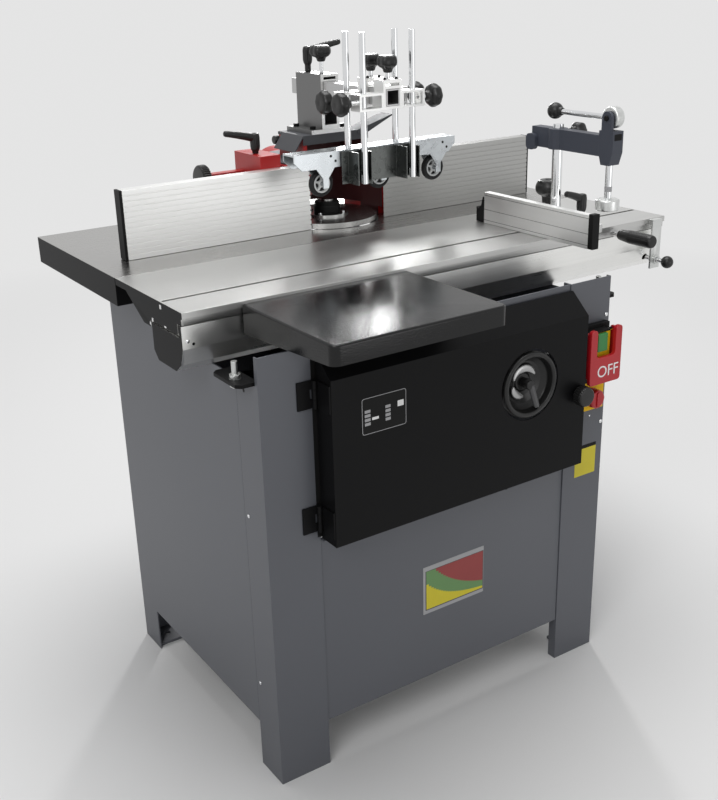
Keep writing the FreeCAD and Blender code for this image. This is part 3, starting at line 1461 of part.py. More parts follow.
# Brackets on the tube: middle block, hollow cells, rod bores, holes for three knobs.
def bracket(front):
    span = (front, front + s.bracket_depth)
    middle = front + s.bracket_depth / 2
    bar_z = (s.bracket_low, s.bracket_low + s.bracket_height)
    bar_mid = s.bracket_low + s.bracket_height / 2
    cell_z = (bar_z[0] + s.cell_wall, bar_z[1] - s.cell_wall)
    tools = [
        slab(around(s.spindle_x, tube_room), span, room_z),
        slab(
            around(s.spindle_x, s.tube_half), span, (s.block_slot_z, s.block_slot_z + s.block_slot)
        ),
        rod(
            "Z",
            (s.spindle_x, middle),
            (s.block_slot_z + s.block_slot, s.block_top),
            stud_hole,
        ),
    ]
    for side in (-1, 1):
        cell = [s.spindle_x + side * s.cell_in, s.spindle_x + side * s.cell_out]
        tools.append(slab(cell if side > 0 else cell[::-1], span, cell_z))
        spot = (s.spindle_x + side * s.rod_x, middle)
        tools.append(rod("Z", spot, bar_z, s.rod_r + s.clamp_gap))
        hole = [
            s.spindle_x + side * (s.bracket_half - s.knob_stud),
            s.spindle_x + side * s.bracket_half,
        ]
        tools.append(
            rod("X", (middle, bar_mid), hole if side > 0 else hole[::-1], stud_hole)
        )
    bar = slab(around(s.spindle_x, s.bracket_half), span, bar_z)
    block = slab(around(s.spindle_x, s.block_half), span, (s.bracket_low, s.block_top))
    return cut(fuse(bar, block), *tools)


def bracket_knobs(label, front):
    middle = front + s.bracket_depth / 2
    bar_mid = s.bracket_low + s.bracket_height / 2
    top_at = (s.spindle_x, middle)
    short_neck = s.knob_neck
    node(label + "_top_knob", star_knob("Z", top_at, s.block_top, 1, s.knob_r, short_neck))
    left = star_knob(
        "X", (middle, bar_mid), s.spindle_x - s.bracket_half, -1, s.side_knob_r, s.knob_neck
    )
    right = star_knob(
        "X", (middle, bar_mid), s.spindle_x + s.bracket_half, 1, s.side_knob_r, s.knob_neck
    )
    node(label + "_side_knobs", left, right)


node("front_bracket", bracket(s.front_bracket))
node("rear_bracket", bracket(s.rear_bracket))
bracket_knobs("front", s.front_bracket)
bracket_knobs("rear", s.rear_bracket)

# Pressure shoe: back plate, two channels open to the front, lugs on the front rods.
front_rod_y = s.front_bracket + s.bracket_depth / 2
rear_rod_y = s.rear_bracket + s.bracket_depth / 2
shoe_z = (s.shoe_low, s.shoe_top)
shoe = [
    slab(
        around(s.spindle_x, s.shoe_half), (s.shoe_back, s.shoe_back + s.shoe_sheet), shoe_z
    )
]
shoe_bores = []
front_rods = []
for side in (-1, 1):
    middle = s.spindle_x + side * s.rod_x
    for edge in (-1, 1):
        inner = middle + edge * (s.channel_half - s.shoe_sheet)
        outer = middle + edge * s.channel_half
        wall = (inner, outer) if edge > 0 else (outer, inner)
        shoe.append(slab(wall, (s.shoe_front, s.shoe_back), shoe_z))
    lug_z = (s.lug_low, s.lug_low + s.lug_height)
    shoe.append(slab(around(middle, s.lug_half), (front_rod_y, s.shoe_back), lug_z))
    spot = (middle, front_rod_y)
    shoe_bores.append(rod("Z", spot, lug_z, s.rod_r))
    front_rods.append(rod("Z", spot, (s.front_rod_low, s.rod_top), s.rod_r))
node("front_shoe", cut(fuse(*shoe), *shoe_bores), *front_rods)

# Roller beam: inverted channel with fork tongues, axles and the rear rods.
beam_y = around(rear_rod_y + s.beam_sheet / 3, s.beam_depth / 2)
beam_skin = prism(
    "Y",
    [
        (s.beam_left, s.beam_top),
        (s.beam_left, s.beam_low + s.beam_corner),
        (s.beam_left + s.beam_corner, s.beam_low),
        (s.beam_right - s.beam_corner, s.beam_low),
        (s.beam_right, s.beam_low + s.beam_corner),
        (s.beam_right, s.beam_top),
    ],
    beam_y,
)
roller_x = [s.roller_mid + step * s.roller_pitch for step in (-1, 0, 1)]
beam_parts = [beam_skin]
axles = []
for x in roller_x:
    tongue = [
        (x - s.fork_half, s.beam_low),
        (x - s.fork_tip, s.fork_knee),
        (x - s.fork_tip, s.fork_low),
        (x + s.fork_tip, s.fork_low),
        (x + s.fork_tip, s.fork_knee),
        (x + s.fork_half, s.beam_low),
    ]
    beam_parts.append(prism("Y", tongue, beam_y))
    axles.append(rod("Y", (x, s.roller_z), beam_y, s.axle_r))
beam_space = slab(
    (s.beam_left, s.beam_right),
    (beam_y[0] + s.beam_sheet, beam_y[1] - s.beam_sheet),
    (s.fork_low, s.beam_top - s.beam_sheet),
)
rear_rods = []
rod_bores = []
for side in (-1, 1):
    spot = (s.spindle_x + side * s.rod_x, rear_rod_y)
    rear_rods.append(rod("Z", spot, (s.rear_rod_low, s.rod_top), s.rod_r))
    rod_bores.append(rod("Z", spot, (s.beam_low, s.beam_top), s.rod_r))
beam_shell = cut(fuse(*beam_parts), beam_space, *rod_bores)
node("roller_beam", fuse(beam_shell, *axles), *rear_rods)

roller_mid_y = (beam_y[0] + beam_y[1]) / 2
roller_y = roller_mid_y - s.roller_width / 2
for label, x in zip(("left", "middle", "right"), roller_x):
    profile = [
        (s.axle_r + s.clamp_gap, 0),
        (s.hub_r / 2, 0),
        (s.hub_r, s.hub_dish),
        (s.hub_r, 0),
        (s.roller_r, 0),
        (s.roller_r, s.roller_width),
        (s.axle_r + s.clamp_gap, s.roller_width),
    ]
    node("roller_" + label, turned("Y", (x, s.roller_z), roller_y, profile))

doc.recompute()
faulty = []
for item in doc.Objects:
    if "Invalid" in item.State or "Error" in item.State:
        faulty.append("%s (%s) %s" % (item.Name, item.Label, item.State))
for name, item in NODES:
    if item.Shape.isNull() or not item.Shape.isValid() or not item.Shape.Solids:
        faulty.append(name + " has no valid shape")
if faulty:
    raise RuntimeError("\n".join(faulty))
os.makedirs("parts", exist_ok=True)
for name, item in NODES:
    item.Shape.exportStep("parts/%s.step" % name)
    box = item.Shape.BoundBox
    print("%-20s %2d solids %9.0f mm3" % (name, len(item.Shape.Solids), item.Shape.Volume))
    print("    x %.1f..%.1f y %.1f..%.1f" % (box.XMin, box.XMax, box.YMin, box.YMax))
    print("    z %.1f..%.1f" % (box.ZMin, box.ZMax))
print(len(NODES), "nodes")
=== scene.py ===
# %% [markdown]
# # A spindle moulder in its finish
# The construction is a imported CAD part: a cabinet, a cast table, a sliding table, a fence with
# its hood, and a pressure device. This lesson dresses it. Every CAD node keeps its place; here
# it gets soft edges, paint, ground iron, anodised aluminium, rubber and the small turned pieces.

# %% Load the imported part
import json
import math

import bmesh
import bpy
import numpy as np
from mathutils import Matrix, Vector

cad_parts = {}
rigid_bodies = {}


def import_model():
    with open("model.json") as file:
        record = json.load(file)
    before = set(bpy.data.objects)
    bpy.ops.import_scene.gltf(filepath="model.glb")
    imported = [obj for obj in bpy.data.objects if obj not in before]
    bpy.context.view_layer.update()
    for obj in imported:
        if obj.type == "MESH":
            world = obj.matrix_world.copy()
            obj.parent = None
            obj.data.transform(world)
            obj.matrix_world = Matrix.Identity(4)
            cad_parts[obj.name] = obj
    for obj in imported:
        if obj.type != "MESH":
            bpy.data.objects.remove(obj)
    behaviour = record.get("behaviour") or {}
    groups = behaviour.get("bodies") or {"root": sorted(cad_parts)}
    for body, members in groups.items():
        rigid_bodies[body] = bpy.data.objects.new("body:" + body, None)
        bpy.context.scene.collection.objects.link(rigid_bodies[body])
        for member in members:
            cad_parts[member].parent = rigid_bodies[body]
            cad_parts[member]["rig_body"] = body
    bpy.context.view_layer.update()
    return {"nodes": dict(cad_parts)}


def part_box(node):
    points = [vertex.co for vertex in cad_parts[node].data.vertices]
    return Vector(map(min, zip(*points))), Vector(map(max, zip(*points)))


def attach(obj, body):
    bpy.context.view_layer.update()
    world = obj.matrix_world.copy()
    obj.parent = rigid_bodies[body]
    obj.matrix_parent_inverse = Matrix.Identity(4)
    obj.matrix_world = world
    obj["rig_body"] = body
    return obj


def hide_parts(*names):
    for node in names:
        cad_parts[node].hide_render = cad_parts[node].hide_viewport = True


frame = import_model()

MM = 0.001
scene = bpy.context.scene

# %% [markdown]
# ## Camera
# The picture is a three-quarter view from the front left, a little above the table. The eye and
# the three turns come from the machine's own straight edges, whose vanishing lines give the
# lens. The long side of the 718 x 800 image takes the 36 mm sensor.

# %% Camera
EYE = (-1.2023, -1.6989, 1.3379)
HEADING = math.radians(33.33)
PITCH = math.radians(-21.53)
ROLL = math.radians(-1.589)
LENS = 49.54

lens = bpy.data.cameras.new("camera")
lens.lens = LENS
lens.sensor_width = 36.0
lens.clip_end = 200.0
camera = bpy.data.objects.new("camera", lens)
turn = Matrix.Rotation(-HEADING, 4, "Z") @ Matrix.Rotation(math.pi / 2 + PITCH, 4, "X")
camera.matrix_world = Matrix.Translation(EYE) @ turn @ Matrix.Rotation(ROLL, 4, "Z")
scene.collection.objects.link(camera)
scene.camera = camera
scene.view_settings.view_transform = "Standard"
print("camera at", EYE)

# %% [markdown]
# ## Shader sums
# A finish is easier to read as a formula than as a drawing of nodes. `Wire` wraps one socket:
# adding or comparing wires adds Math nodes. `Finish` owns a material and has one method that
# adds any other node, so every pattern below is a line or two of arithmetic.

# %% Wires and finishes
class Wire:
    """One output socket; sums and products of wires become Math nodes."""

    def __init__(self, finish, socket):
        self.finish = finish
        self.socket = socket

    def math(self, operation, *values):
        return self.finish.node("ShaderNodeMath", {"operation": operation}, dict(enumerate(values)))

    def __add__(self, other):
        return self.math("ADD", self, other)

    def __radd__(self, other):
        return self.math("ADD", other, self)

    def __sub__(self, other):
        return self.math("SUBTRACT", self, other)

    def __rsub__(self, other):
        return self.math("SUBTRACT", other, self)

    def __mul__(self, other):
        return self.math("MULTIPLY", self, other)

    def __rmul__(self, other):
        return self.math("MULTIPLY", other, self)

    def __gt__(self, other):
        return self.math("GREATER_THAN", self, other)

    def __lt__(self, other):
        return self.math("LESS_THAN", self, other)

    def __or__(self, other):
        return self.math("MAXIMUM", self, other)

    def size(self):
        return self.math("ABSOLUTE", self)

    def root(self):
        return self.math("SQRT", self)

    def ramp(self, low, high):
        """0 below low, 1 above high, straight in between."""
        limits = {"From Min": low, "From Max": high}
        return self.finish.node("ShaderNodeMapRange", {"clamp": True}, {"Value": self, **limits})


class Finish:
    """A Principled material whose patterns are written as sums of wires."""

    def __init__(self, name, color, roughness, metallic=0.0, **constants):
        self.material = bpy.data.materials.new(name)
        self.material.use_nodes = True
        self.tree = self.material.node_tree
        self.shader = self.tree.nodes["Principled BSDF"]
        self.color = (*color, 1.0)
        settings = {"Base Color": self.color, "Roughness": roughness, "Metallic": metallic}
        for socket, value in {**settings, **constants}.items():
            self.shader.inputs[socket].default_value = value
        self.place = self.node("ShaderNodeTexCoord", output="Object")

    def node(self, kind, settings=None, inputs=None, output=0):
        made = self.tree.nodes.new(kind)
        for key, value in (settings or {}).items():
            setattr(made, key, value)
        for key, value in (inputs or {}).items():
            if isinstance(value, Wire):
                self.tree.links.new(value.socket, made.inputs[key])
            else:
                made.inputs[key].default_value = value
        return Wire(self, made.outputs[output])

    def axis(self, name):
        return self.node("ShaderNodeSeparateXYZ", None, {0: self.place}, name)

    def stretched(self, x, y, z):
        scale = {"Vector": self.place, "Scale": (x, y, z)}
        return self.node("ShaderNodeMapping", {"vector_type": "POINT"}, scale)

    def noise(self, scale, detail=2.0, place=None):
        inputs = {"Vector": place or self.place, "Scale": scale, "Detail": detail}
        return self.node("ShaderNodeTexNoise", None, inputs, "Fac")

    def mix(self, share, first, second):
        """Colour that goes from first to second as share goes from 0 to 1."""
        colors = [c if isinstance(c, Wire) else (*c[:3], 1.0) for c in (first, second)]
        inputs = {0: share, 6: colors[0], 7: colors[1]}
        return self.node("ShaderNodeMix", {"data_type": "RGBA"}, inputs, 2)

    def shade(self, share, spread):
        """The finish's own colour, lighter or darker by the given spread."""
        low = [c * (1 - spread) for c in self.color[:3]]
        high = [c * (1 + spread) for c in self.color[:3]]
        return self.mix(share, low, high)

    def wired(self, socket):
        """What feeds a socket of the shader now: its wire, or its own value."""
        entry = self.shader.inputs[socket]
        return Wire(self, entry.links[0].from_socket) if entry.is_linked else entry.default_value

    def feed(self, socket, wire):
        self.tree.links.new(wire.socket, self.shader.inputs[socket])
        return self

    def bump(self, height, depth, strength=1.0):
        inputs = {"Height": height, "Distance": depth, "Strength": strength}
        return self.feed("Normal", self.node("ShaderNodeBump", None, inputs))

    def patch(self, where, color, roughness, metallic=0.0):
        """Another finish where the mask is 1; a metallic value that both share stays on its socket."""
        rough = self.wired("Roughness")
        bare = self.wired("Metallic")
        self.feed("Base Color", self.mix(where, self.wired("Base Color"), color))
        self.feed("Roughness", where * roughness + (1 - where) * rough)
        if bare != metallic:
            self.feed("Metallic", where * metallic + (1 - where) * bare)
        return self


print("shader kit ready")

# %% [markdown]
# ## Paints
# The cabinet is powder coated in a blue-grey, the covers in a deeper black whose skin has the
# fine pebble of thick powder. A slow noise moves the colour a little and a fast one moves the
# light, which is what keeps a sprayed sheet from looking like plastic. Black powder scatters
# what it mirrors, so its specular level is low.

# %% Powder coats
DULL = 0.10


def powder_coat(name, color, roughness, pebble, depth, gloss=0.5):
    """Sprayed powder: slow drift of colour, pebbles of a given size in the skin."""
    paint = Finish(name, color, roughness, 0.0, **{"Specular IOR Level": gloss})
    drift = paint.noise(2.5, 3.0)
    paint.feed("Base Color", paint.shade(drift, 0.10))
    paint.feed("Roughness", roughness + (drift - 0.5) * 0.10)
    paint.bump(paint.noise(1.0 / pebble, 3.0), depth)
    return paint


BLACK = (0.0052, 0.0052, 0.0056)
RED = (0.40, 0.014, 0.014)
cabinet_grey = powder_coat("cabinet_grey", (0.098, 0.103, 0.118), 0.42, 1.6 * MM, 0.05 * MM).material
cover_black = powder_coat("cover_black", BLACK, 0.36, 2.2 * MM, 0.10 * MM, DULL).material
plate_black = powder_coat("plate_black", BLACK, 0.13, 3.0 * MM, 0.22 * MM, 0.32).material
bracket_black = powder_coat("bracket_black", BLACK, 0.45, 1.5 * MM, 0.06 * MM, DULL).material
arm_grey = powder_coat("arm_grey", (0.050, 0.056, 0.074), 0.45, 1.8 * MM, 0.08 * MM, 0.35).material
lid_grey = powder_coat("lid_grey", (0.060, 0.063, 0.070), 0.50, 1.8 * MM, 0.06 * MM, 0.35).material
cast_grey = powder_coat("cast_grey", (0.10, 0.105, 0.11), 0.55, 1.2 * MM, 0.15 * MM).material
carrier_red = powder_coat("carrier_red", RED, 0.34, 1.8 * MM, 0.05 * MM).material
print("powder coats ready")

# %% [markdown]
# The hood's chamber is red outside; within, the red is darkened to nearly black as painted shade.
# The inside is known by its place: a channel with a round back, and the hollow of the dome above.

# %% Hood
CHAMBER = 108.6 * MM
CHAMBER_Y = 255 * MM
CHAMBER_TOP = 968.4 * MM
DOME = (-58.4 * MM, 77.4 * MM, 292.4 * MM, 1014.4 * MM)


def hood_finish():
    """Red powder, darkened to a painted shade inside the chamber and the dome."""
    paint = powder_coat("hood_red_inner_shade", RED, 0.34, 1.8 * MM, 0.05 * MM)
    x, y, z = paint.axis("X"), paint.axis("Y"), paint.axis("Z")
    back = y - CHAMBER_Y
    away = (x * x + back * back).root()
    throat = (x.size() < CHAMBER) * (back < 0.0)
    chamber = ((away < CHAMBER) | throat) * (z < CHAMBER_TOP)
    dome = (x > DOME[0]) * (x < DOME[1]) * (y < DOME[2]) * (z < DOME[3])
    # Inside the chamber and the dome the red becomes near black: painted shade.
    return paint.patch(chamber | dome, (0.042, 0.003, 0.004), 0.55).material


hood_red_inner_shade = hood_finish()
print("hood ready")

# %% [markdown]
# ## Metals
# The table is ground: long scratches run across it, and only its top is bare, the rim is painted
# black. Aluminium profiles carry the faint lines of the die along their length. Galvanised sheet
# shows zinc flowers, and rods are ground bright.

# %% Bare metals
def drawn_metal(name, color, roughness, run, streak=0.10):
    """Metal with lines along one axis: noise squeezed across the run of the die."""
    metal = Finish(name, color, roughness, 1.0, **{"Specular IOR Level": DULL})
    squeeze = [3.0 if axis == run else 900.0 for axis in "XYZ"]
    lines = metal.noise(1.0, 2.0, metal.stretched(*squeeze))
    cloud = metal.noise(9.0, 3.0)
    metal.feed("Base Color", metal.shade(lines * 0.6 + cloud * 0.4, streak))
    metal.feed("Roughness", roughness + (cloud - 0.5) * 0.12 + (lines - 0.5) * 0.10)
    metal.bump(lines, 0.02 * MM, 0.6)
    return metal


def galvanised_metal(name, color, roughness, flower):
    """Zinc flowers: cells that each turn the colour and the gloss a little."""
    zinc = Finish(name, color, roughness, 1.0)
    inputs = {"Vector": zinc.place, "Scale": 1.0 / flower}
    cells = zinc.node("ShaderNodeTexVoronoi", None, inputs, "Color")
    turn_of_cell = zinc.node("ShaderNodeSeparateColor", None, {0: cells})
    cloud = zinc.noise(14.0, 3.0, zinc.stretched(3.0, 3.0, 0.7))
    zinc.feed("Base Color", zinc.shade(turn_of_cell * 0.4 + cloud * 0.6, 0.16))
    zinc.feed("Roughness", roughness + (turn_of_cell - 0.5) * 0.12)
    return zinc


frame_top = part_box("table")[1].z
CHROME = (0.80, 0.81, 0.82)
turned_steel = drawn_metal("turned_steel", (0.60, 0.60, 0.59), 0.24, "Z").material
bright_steel = drawn_metal("bright_steel", CHROME, 0.10, "Z", 0.05).material
zinc_plate = galvanised_metal("zinc_plate", (0.66, 0.67, 0.66), 0.34, 6.0 * MM).material
cross_aluminium = drawn_metal("cross_aluminium", (0.84, 0.84, 0.83), 0.34, "X").material
arm_aluminium = drawn_metal("arm_aluminium", (0.50, 0.50, 0.50), 0.36, "Y").material
print("metals ready, table top at", round(frame_top, 4))

# %% [markdown]
# Several nodes hold pieces of two finishes: end caps on a profile, rods in a sheet, a painted
# rim on a ground table. Each piece is known by its place, so a mask in the machine's own
# coordinates divides the finishes and nothing has to be cut apart.

# %% Finishes divided by place
CAP_START = 537.2 * MM
ROD_X = 55 * MM
ROD_R = 6.2 * MM
CABINET_MIDDLE = 101.75 * MM
STUD_FROM_MIDDLE = 387.25 * MM
STUD_FRONT = 270 * MM
STUD_REACH = 9.4 * MM
RIM_EDGE = 0.4 * MM
SLIDE_FRONT = -200.3 * MM
SHOE_RODS, BEAM_RODS = 4 * MM, 59 * MM


def ground_table():
    """Ground iron above the rim's edge, black paint below it."""
    iron = drawn_metal("table_iron", (0.40, 0.395, 0.385), 0.26, "X", 0.14)
    return iron.patch(iron.axis("Z") < frame_top - RIM_EDGE, BLACK, 0.45).material


def capped_profile(name, color, roughness):
    """Drawn aluminium with black plastic caps at both ends of the machine's length."""
    metal = drawn_metal(name, color, roughness, "X")
    metal.patch(metal.axis("X").size() > CAP_START, BLACK, 0.45)
    return metal


def rodded_sheet(name, color, rod_y):
    """Zinc sheet, but bright chrome within a rod's radius of the two rods' axes."""
    zinc = galvanised_metal(name, color, 0.30, 9.0 * MM)
    side, back = zinc.axis("X").size() - ROD_X, zinc.axis("Y") - rod_y
    rods = (side * side + back * back).root() < ROD_R
    return zinc.patch(rods, CHROME, 0.07, 1.0).material


def bracket_finish():
    """Black powder, but zinc on the levelling studs at both sides of the cabinet."""
    paint = powder_coat("bracket_zinc", BLACK, 0.45, 1.5 * MM, 0.06 * MM, DULL)
    side = (paint.axis("X") + CABINET_MIDDLE).size() - STUD_FROM_MIDDLE
    back = paint.axis("Y") + STUD_FRONT
    studs = (side * side + back * back).root() < STUD_REACH
    return paint.patch(studs, (0.60, 0.61, 0.60), 0.32, 1.0).material


table_iron = ground_table()
bracket_zinc = bracket_finish()
rail_aluminium = capped_profile("rail_aluminium", (0.86, 0.86, 0.84), 0.30).material
slide = capped_profile("slide_aluminium", (0.56, 0.56, 0.55), 0.36)
# The front face gets a lighter copy of the aluminium: painted light on that side.
slide_aluminium = slide.patch(slide.axis("Y") < SLIDE_FRONT, (0.64, 0.65, 0.64), 0.34, 1.0).material
shoe_zinc = rodded_sheet("shoe_zinc", (0.14, 0.147, 0.143), SHOE_RODS)
beam_zinc = rodded_sheet("beam_zinc", (0.60, 0.63, 0.65), BEAM_RODS)
print("divided finishes ready")

# %% [markdown]
# The two fence plates are the same grooved profile; the right one gets a darker copy of the
# aluminium as painted shade. The mast's sides are darkened as painted shade, its front lands
# are bright, and black screws hold its foot. The mitre fence is paler, with three fine lines along it.

# %% Fence plates and mast
left_aluminium = drawn_metal("left_aluminium", (0.80, 0.80, 0.79), 0.40, "X", 0.06).material
# The right plate's darker copy of the aluminium is painted shade.
right_shaded_aluminium = drawn_metal("right_shaded_aluminium", (0.42, 0.42, 0.41), 0.40, "X", 0.06).material
MAST_FRONT = 203.3 * MM
FOOT_TOP = 1036.2 * MM
FOOT_SCREWS = 30 * MM
MITRE_LINES = (857.0 * MM, 878.0 * MM, 906.0 * MM)
LINE_HALF = 0.55 * MM


def mast_finish():
    """Aluminium darkened on its sides as painted shade, bright on the front lands, black on the foot's
    screws.
    """
    # The dark base colour of the mast's sides is painted shade.
    metal = drawn_metal("mast_shaded_aluminium", (0.19, 0.19, 0.19), 0.42, "Z")
    metal.patch(metal.axis("Y") < MAST_FRONT, (0.86, 0.86, 0.85), 0.34, 1.0)
    heads = (metal.axis("X").size() > FOOT_SCREWS) * (metal.axis("Z") > FOOT_TOP)
    return metal.patch(heads, BLACK, 0.40).material


def mitre_finish():
    """Pale aluminium with three fine dark lines drawn along the fence."""
    metal = drawn_metal("mitre_aluminium", (0.93, 0.93, 0.92), 0.40, "Y", 0.06)
    z = metal.axis("Z")
    line = None
    for height in MITRE_LINES:
        near = (z - height).size() < LINE_HALF
        line = near if line is None else line | near
    return metal.patch(line, (0.30, 0.30, 0.30), 0.40, 1.0).material


mast_shaded_aluminium = mast_finish()
mitre_aluminium = mitre_finish()
print("fence and mast ready")

# %% [markdown]
# ## Plastics and rubber
# Moulded knobs, caps and the switch have the grain of the tool they were moulded in.

# %% Moulded plastics
def moulded(name, color, roughness, gloss=0.5, grain=0.8 * MM, depth=0.03 * MM):
    """Moulded plastic: even colour with a faint drift, fine grain in the skin."""
    plastic = Finish(name, color, roughness, 0.0, **{"Specular IOR Level": gloss})
    plastic.feed("Base Color", plastic.shade(plastic.noise(30.0), 0.08))
    plastic.feed("Roughness", roughness + (plastic.noise(60.0) - 0.5) * 0.10)
    plastic.bump(plastic.noise(1.0 / grain, 2.0), depth)
    return plastic


YELLOW = (0.80, 0.50, 0.015)
JET = (0.010, 0.010, 0.010)
KEY_FRONT, KEY_TOP, DIAL_PLATE_TOP = -327.2 * MM, 702 * MM, 599.9 * MM
knob_black = moulded("knob_black", JET, 0.34, 0.4).material
cap_black = moulded("cap_black", JET, 0.45, DULL).material
tyre_black = moulded("tyre_black", (0.013, 0.013, 0.014), 0.55, 0.3).material
paddle_red = moulded("paddle_red", (0.44, 0.010, 0.016), 0.30).material
dial_red = moulded("dial_red", (0.42, 0.008, 0.014), 0.32).material
button_green = moulded("button_green", (0.030, 0.22, 0.050), 0.35).material
hub_white = moulded("hub_white", (0.62, 0.63, 0.63), 0.30).material
mark_white = moulded("mark_white", (0.80, 0.80, 0.80), 0.45).material
mark_grey = moulded("mark_grey", (0.34, 0.34, 0.35), 0.45).material
lever_grey = moulded("lever_grey", (0.060, 0.060, 0.062), 0.35).material
mark_red = moulded("mark_red", (0.27, 0.035, 0.033), 0.45).material
mark_green = moulded("mark_green", (0.12, 0.25, 0.085), 0.45).material
mark_yellow = moulded("mark_yellow", (0.60, 0.51, 0.013), 0.45).material
grip_silver = drawn_metal("grip_silver", (0.42, 0.42, 0.42), 0.34, "Y").material

switch = moulded("switch_black", JET, 0.45, DULL)
key_block = (switch.axis("Y") < KEY_FRONT) * (switch.axis("Z") < KEY_TOP)
yellow_parts = key_block | (switch.axis("Z") < DIAL_PLATE_TOP)
switch_finish = switch.patch(yellow_parts, YELLOW, 0.35).material
print("plastics ready")

# %% [markdown]
# ## Soft edges
# Folded sheet and cast iron have no razor edges: each one catches a thin line of light. A CAD
# mesh is loose triangles, so a copy is merged, its flat faces are joined, and a bevel rounds the
# edges that are sharper than a set angle. The copy then stands for the node. The second list keeps
# its own meshes: the drive inside the cabinet, the spindle, the clamp's post, and the back panel,
# whose softened copy rendered with dark wedges beside its bulge.

# %% Edge rounding
FLAT = math.radians(0.6)
SHARP = math.radians(32)


def dress(item, material):
    """One material for the whole object."""
    item.data.materials.clear()
    item.data.materials.append(material)


def rounded(item, width, segments=2):
    """A live bevel of the given width on every edge sharper than the set angle."""
    bevel = item.modifiers.new("edges", "BEVEL")
    bevel.width = width
    bevel.segments = segments
    bevel.limit_method = "ANGLE"
    bevel.angle_limit = SHARP
    bevel.harden_normals = True


def softened(node, material, width):
    """A merged copy of a CAD node with its sharp edges rounded to a width in metres."""
    source = frame["nodes"][node]
    mesh = source.data.copy()
    mesh.name = node + "_edges"
    work = bmesh.new()
    work.from_mesh(mesh)
    bmesh.ops.remove_doubles(work, verts=work.verts, dist=2e-6)
    bmesh.ops.dissolve_limit(work, angle_limit=FLAT, verts=work.verts, edges=work.edges)
    work.to_mesh(mesh)
    work.free()
    mesh.shade_smooth()
    mesh.set_sharp_from_angle(angle=SHARP)
    item = bpy.data.objects.new(node + "_piece", mesh)
    scene.collection.objects.link(item)
    dress(item, material)
    if width > 0:
        rounded(item, width)
    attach(item, source["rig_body"])
    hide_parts(node)
    return item


EDGES = {
    "front_posts": (cabinet_grey, 1.4), "side_sheets": (cabinet_grey, 0.8),
    "front_panel": (cabinet_grey, 0.8), "table": (table_iron, 0.8),
    "sliding_table": (slide_aluminium, 0.5),
    "slide_rail": (rail_aluminium, 0.6), "rail_brackets": (bracket_zinc, 0.6),
    "hinge_leaves": (bracket_black, 0.5), "support_plate": (plate_black, 0.0),
    "door": (cover_black, 0.8), "switch_box": (switch_finish, 1.0),
    "on_button": (button_green, 1.0), "hood": (hood_red_inner_shade, 0.8), "hood_lid": (lid_grey, 0.8),
    "column": (mast_shaded_aluminium, 0.5),
    "left_carrier": (carrier_red, 1.0), "left_fence": (left_aluminium, 0.3),
    "right_fence": (right_shaded_aluminium, 0.3), "arm": (arm_aluminium, 0.6),
    "front_bracket": (cross_aluminium, 0.6), "rear_bracket": (cross_aluminium, 0.6),
    "front_shoe": (shoe_zinc, 0.4), "roller_beam": (beam_zinc, 0.5),
    "mitre_body": (cross_aluminium, 0.8), "mitre_fence": (mitre_aluminium, 0.5),
    "clamp_arm": (arm_grey, 1.5),
}
for node, (material, width) in EDGES.items():
    softened(node, material, width * MM)
PLAIN = {
    "lift_guide": turned_steel, "lift_screw": turned_steel, "quill_housing": cast_grey,
    "quill_bearings": turned_steel, "motor_body": cast_grey, "drive_belt": tyre_black,
    "spindle_shaft": turned_steel, "spindle_disc": turned_steel, "motor_pulley": cast_grey,
    "clamp_post": bright_steel, "back_panel": cabinet_grey,
}
for node, material in PLAIN.items():
    dress(frame["nodes"][node], material)
print(len(EDGES), "nodes with soft edges,", len(PLAIN), "dressed as they are")

# %% [markdown]
# ## Surfaces from arrays
# The knobs, levers, wheels and plates are worked out as whole arrays of points: a grid that is
# turned about an axis, an ellipse carried along a path, or an outline given a thickness. A modeller
# could push vertices by hand, but a formula can be measured and changed in one place. Lengths are
# in millimetres in the machine's own frame and become metres at the end.

# %% Grid surfaces
AXES = {
    "X": np.array([[1, 0, 0], [0, 1, 0], [0, 0, 1]], float),
    "Y": np.array([[0, 1, 0], [1, 0, 0], [0, 0, 1]], float),
    "Z": np.array([[0, 0, 1], [1, 0, 0], [0, 1, 0]], float),
}


def skin(grid, round_u, round_v):
    """Faces between neighbours of a grid: (i, j), (i+1, j), (i+1, j+1), (i, j+1)."""
    rows, columns = grid.shape[:2]
    index = np.arange(rows * columns).reshape(rows, columns)
    index = np.vstack([index, index[:1]]) if round_u else index
    index = np.hstack([index, index[:, :1]]) if round_v else index
    quads = np.stack([index[:-1, :-1], index[1:, :-1], index[1:, 1:], index[:-1, 1:]], axis=-1)
    return grid.reshape(-1, 3), quads.reshape(-1, 4).tolist()


def eased(points, radius, steps=5):
    """Each inner corner P becomes (1-t)^2 A + 2t(1-t) P + t^2 B, A and B a radius away from it."""
    points = np.asarray(points, float)
    corner = points[1:-1]

    def toward(other):
        side = other - corner
        length = np.maximum(np.linalg.norm(side, axis=1, keepdims=True), 1e-9)
        return (corner + side * np.minimum(radius / length, 0.48))[:, None]

    t = np.linspace(0, 1, steps)[None, :, None]
    curve = (1 - t) ** 2 * toward(points[:-2]) + t * t * toward(points[2:])
    curve = curve + 2 * t * (1 - t) * corner[:, None]
    return np.vstack([points[:1], curve.reshape(-1, points.shape[1]), points[-1:]])


def turned(profile, axis, at, lobes=0, depth=0.0, reach=0.0, steps=48, ring=False):
    """Profile (radius, height) about an axis; lobes pull r in by depth (1 - cos n a) / 2."""
    profile = np.asarray(profile, float)
    angle = np.linspace(0, 2 * np.pi, steps, endpoint=False)[:, None]
    radius, height = profile[:, 0][None], profile[:, 1][None, :, None]
    radius = radius * (1 - depth * (radius > reach) * (1 - np.cos(lobes * angle)) / 2)
    along, side, up = AXES[axis]
    flat = (radius * np.cos(angle))[..., None] * side + (radius * np.sin(angle))[..., None] * up
    return skin(np.asarray(at, float) + height * along + flat, True, ring)


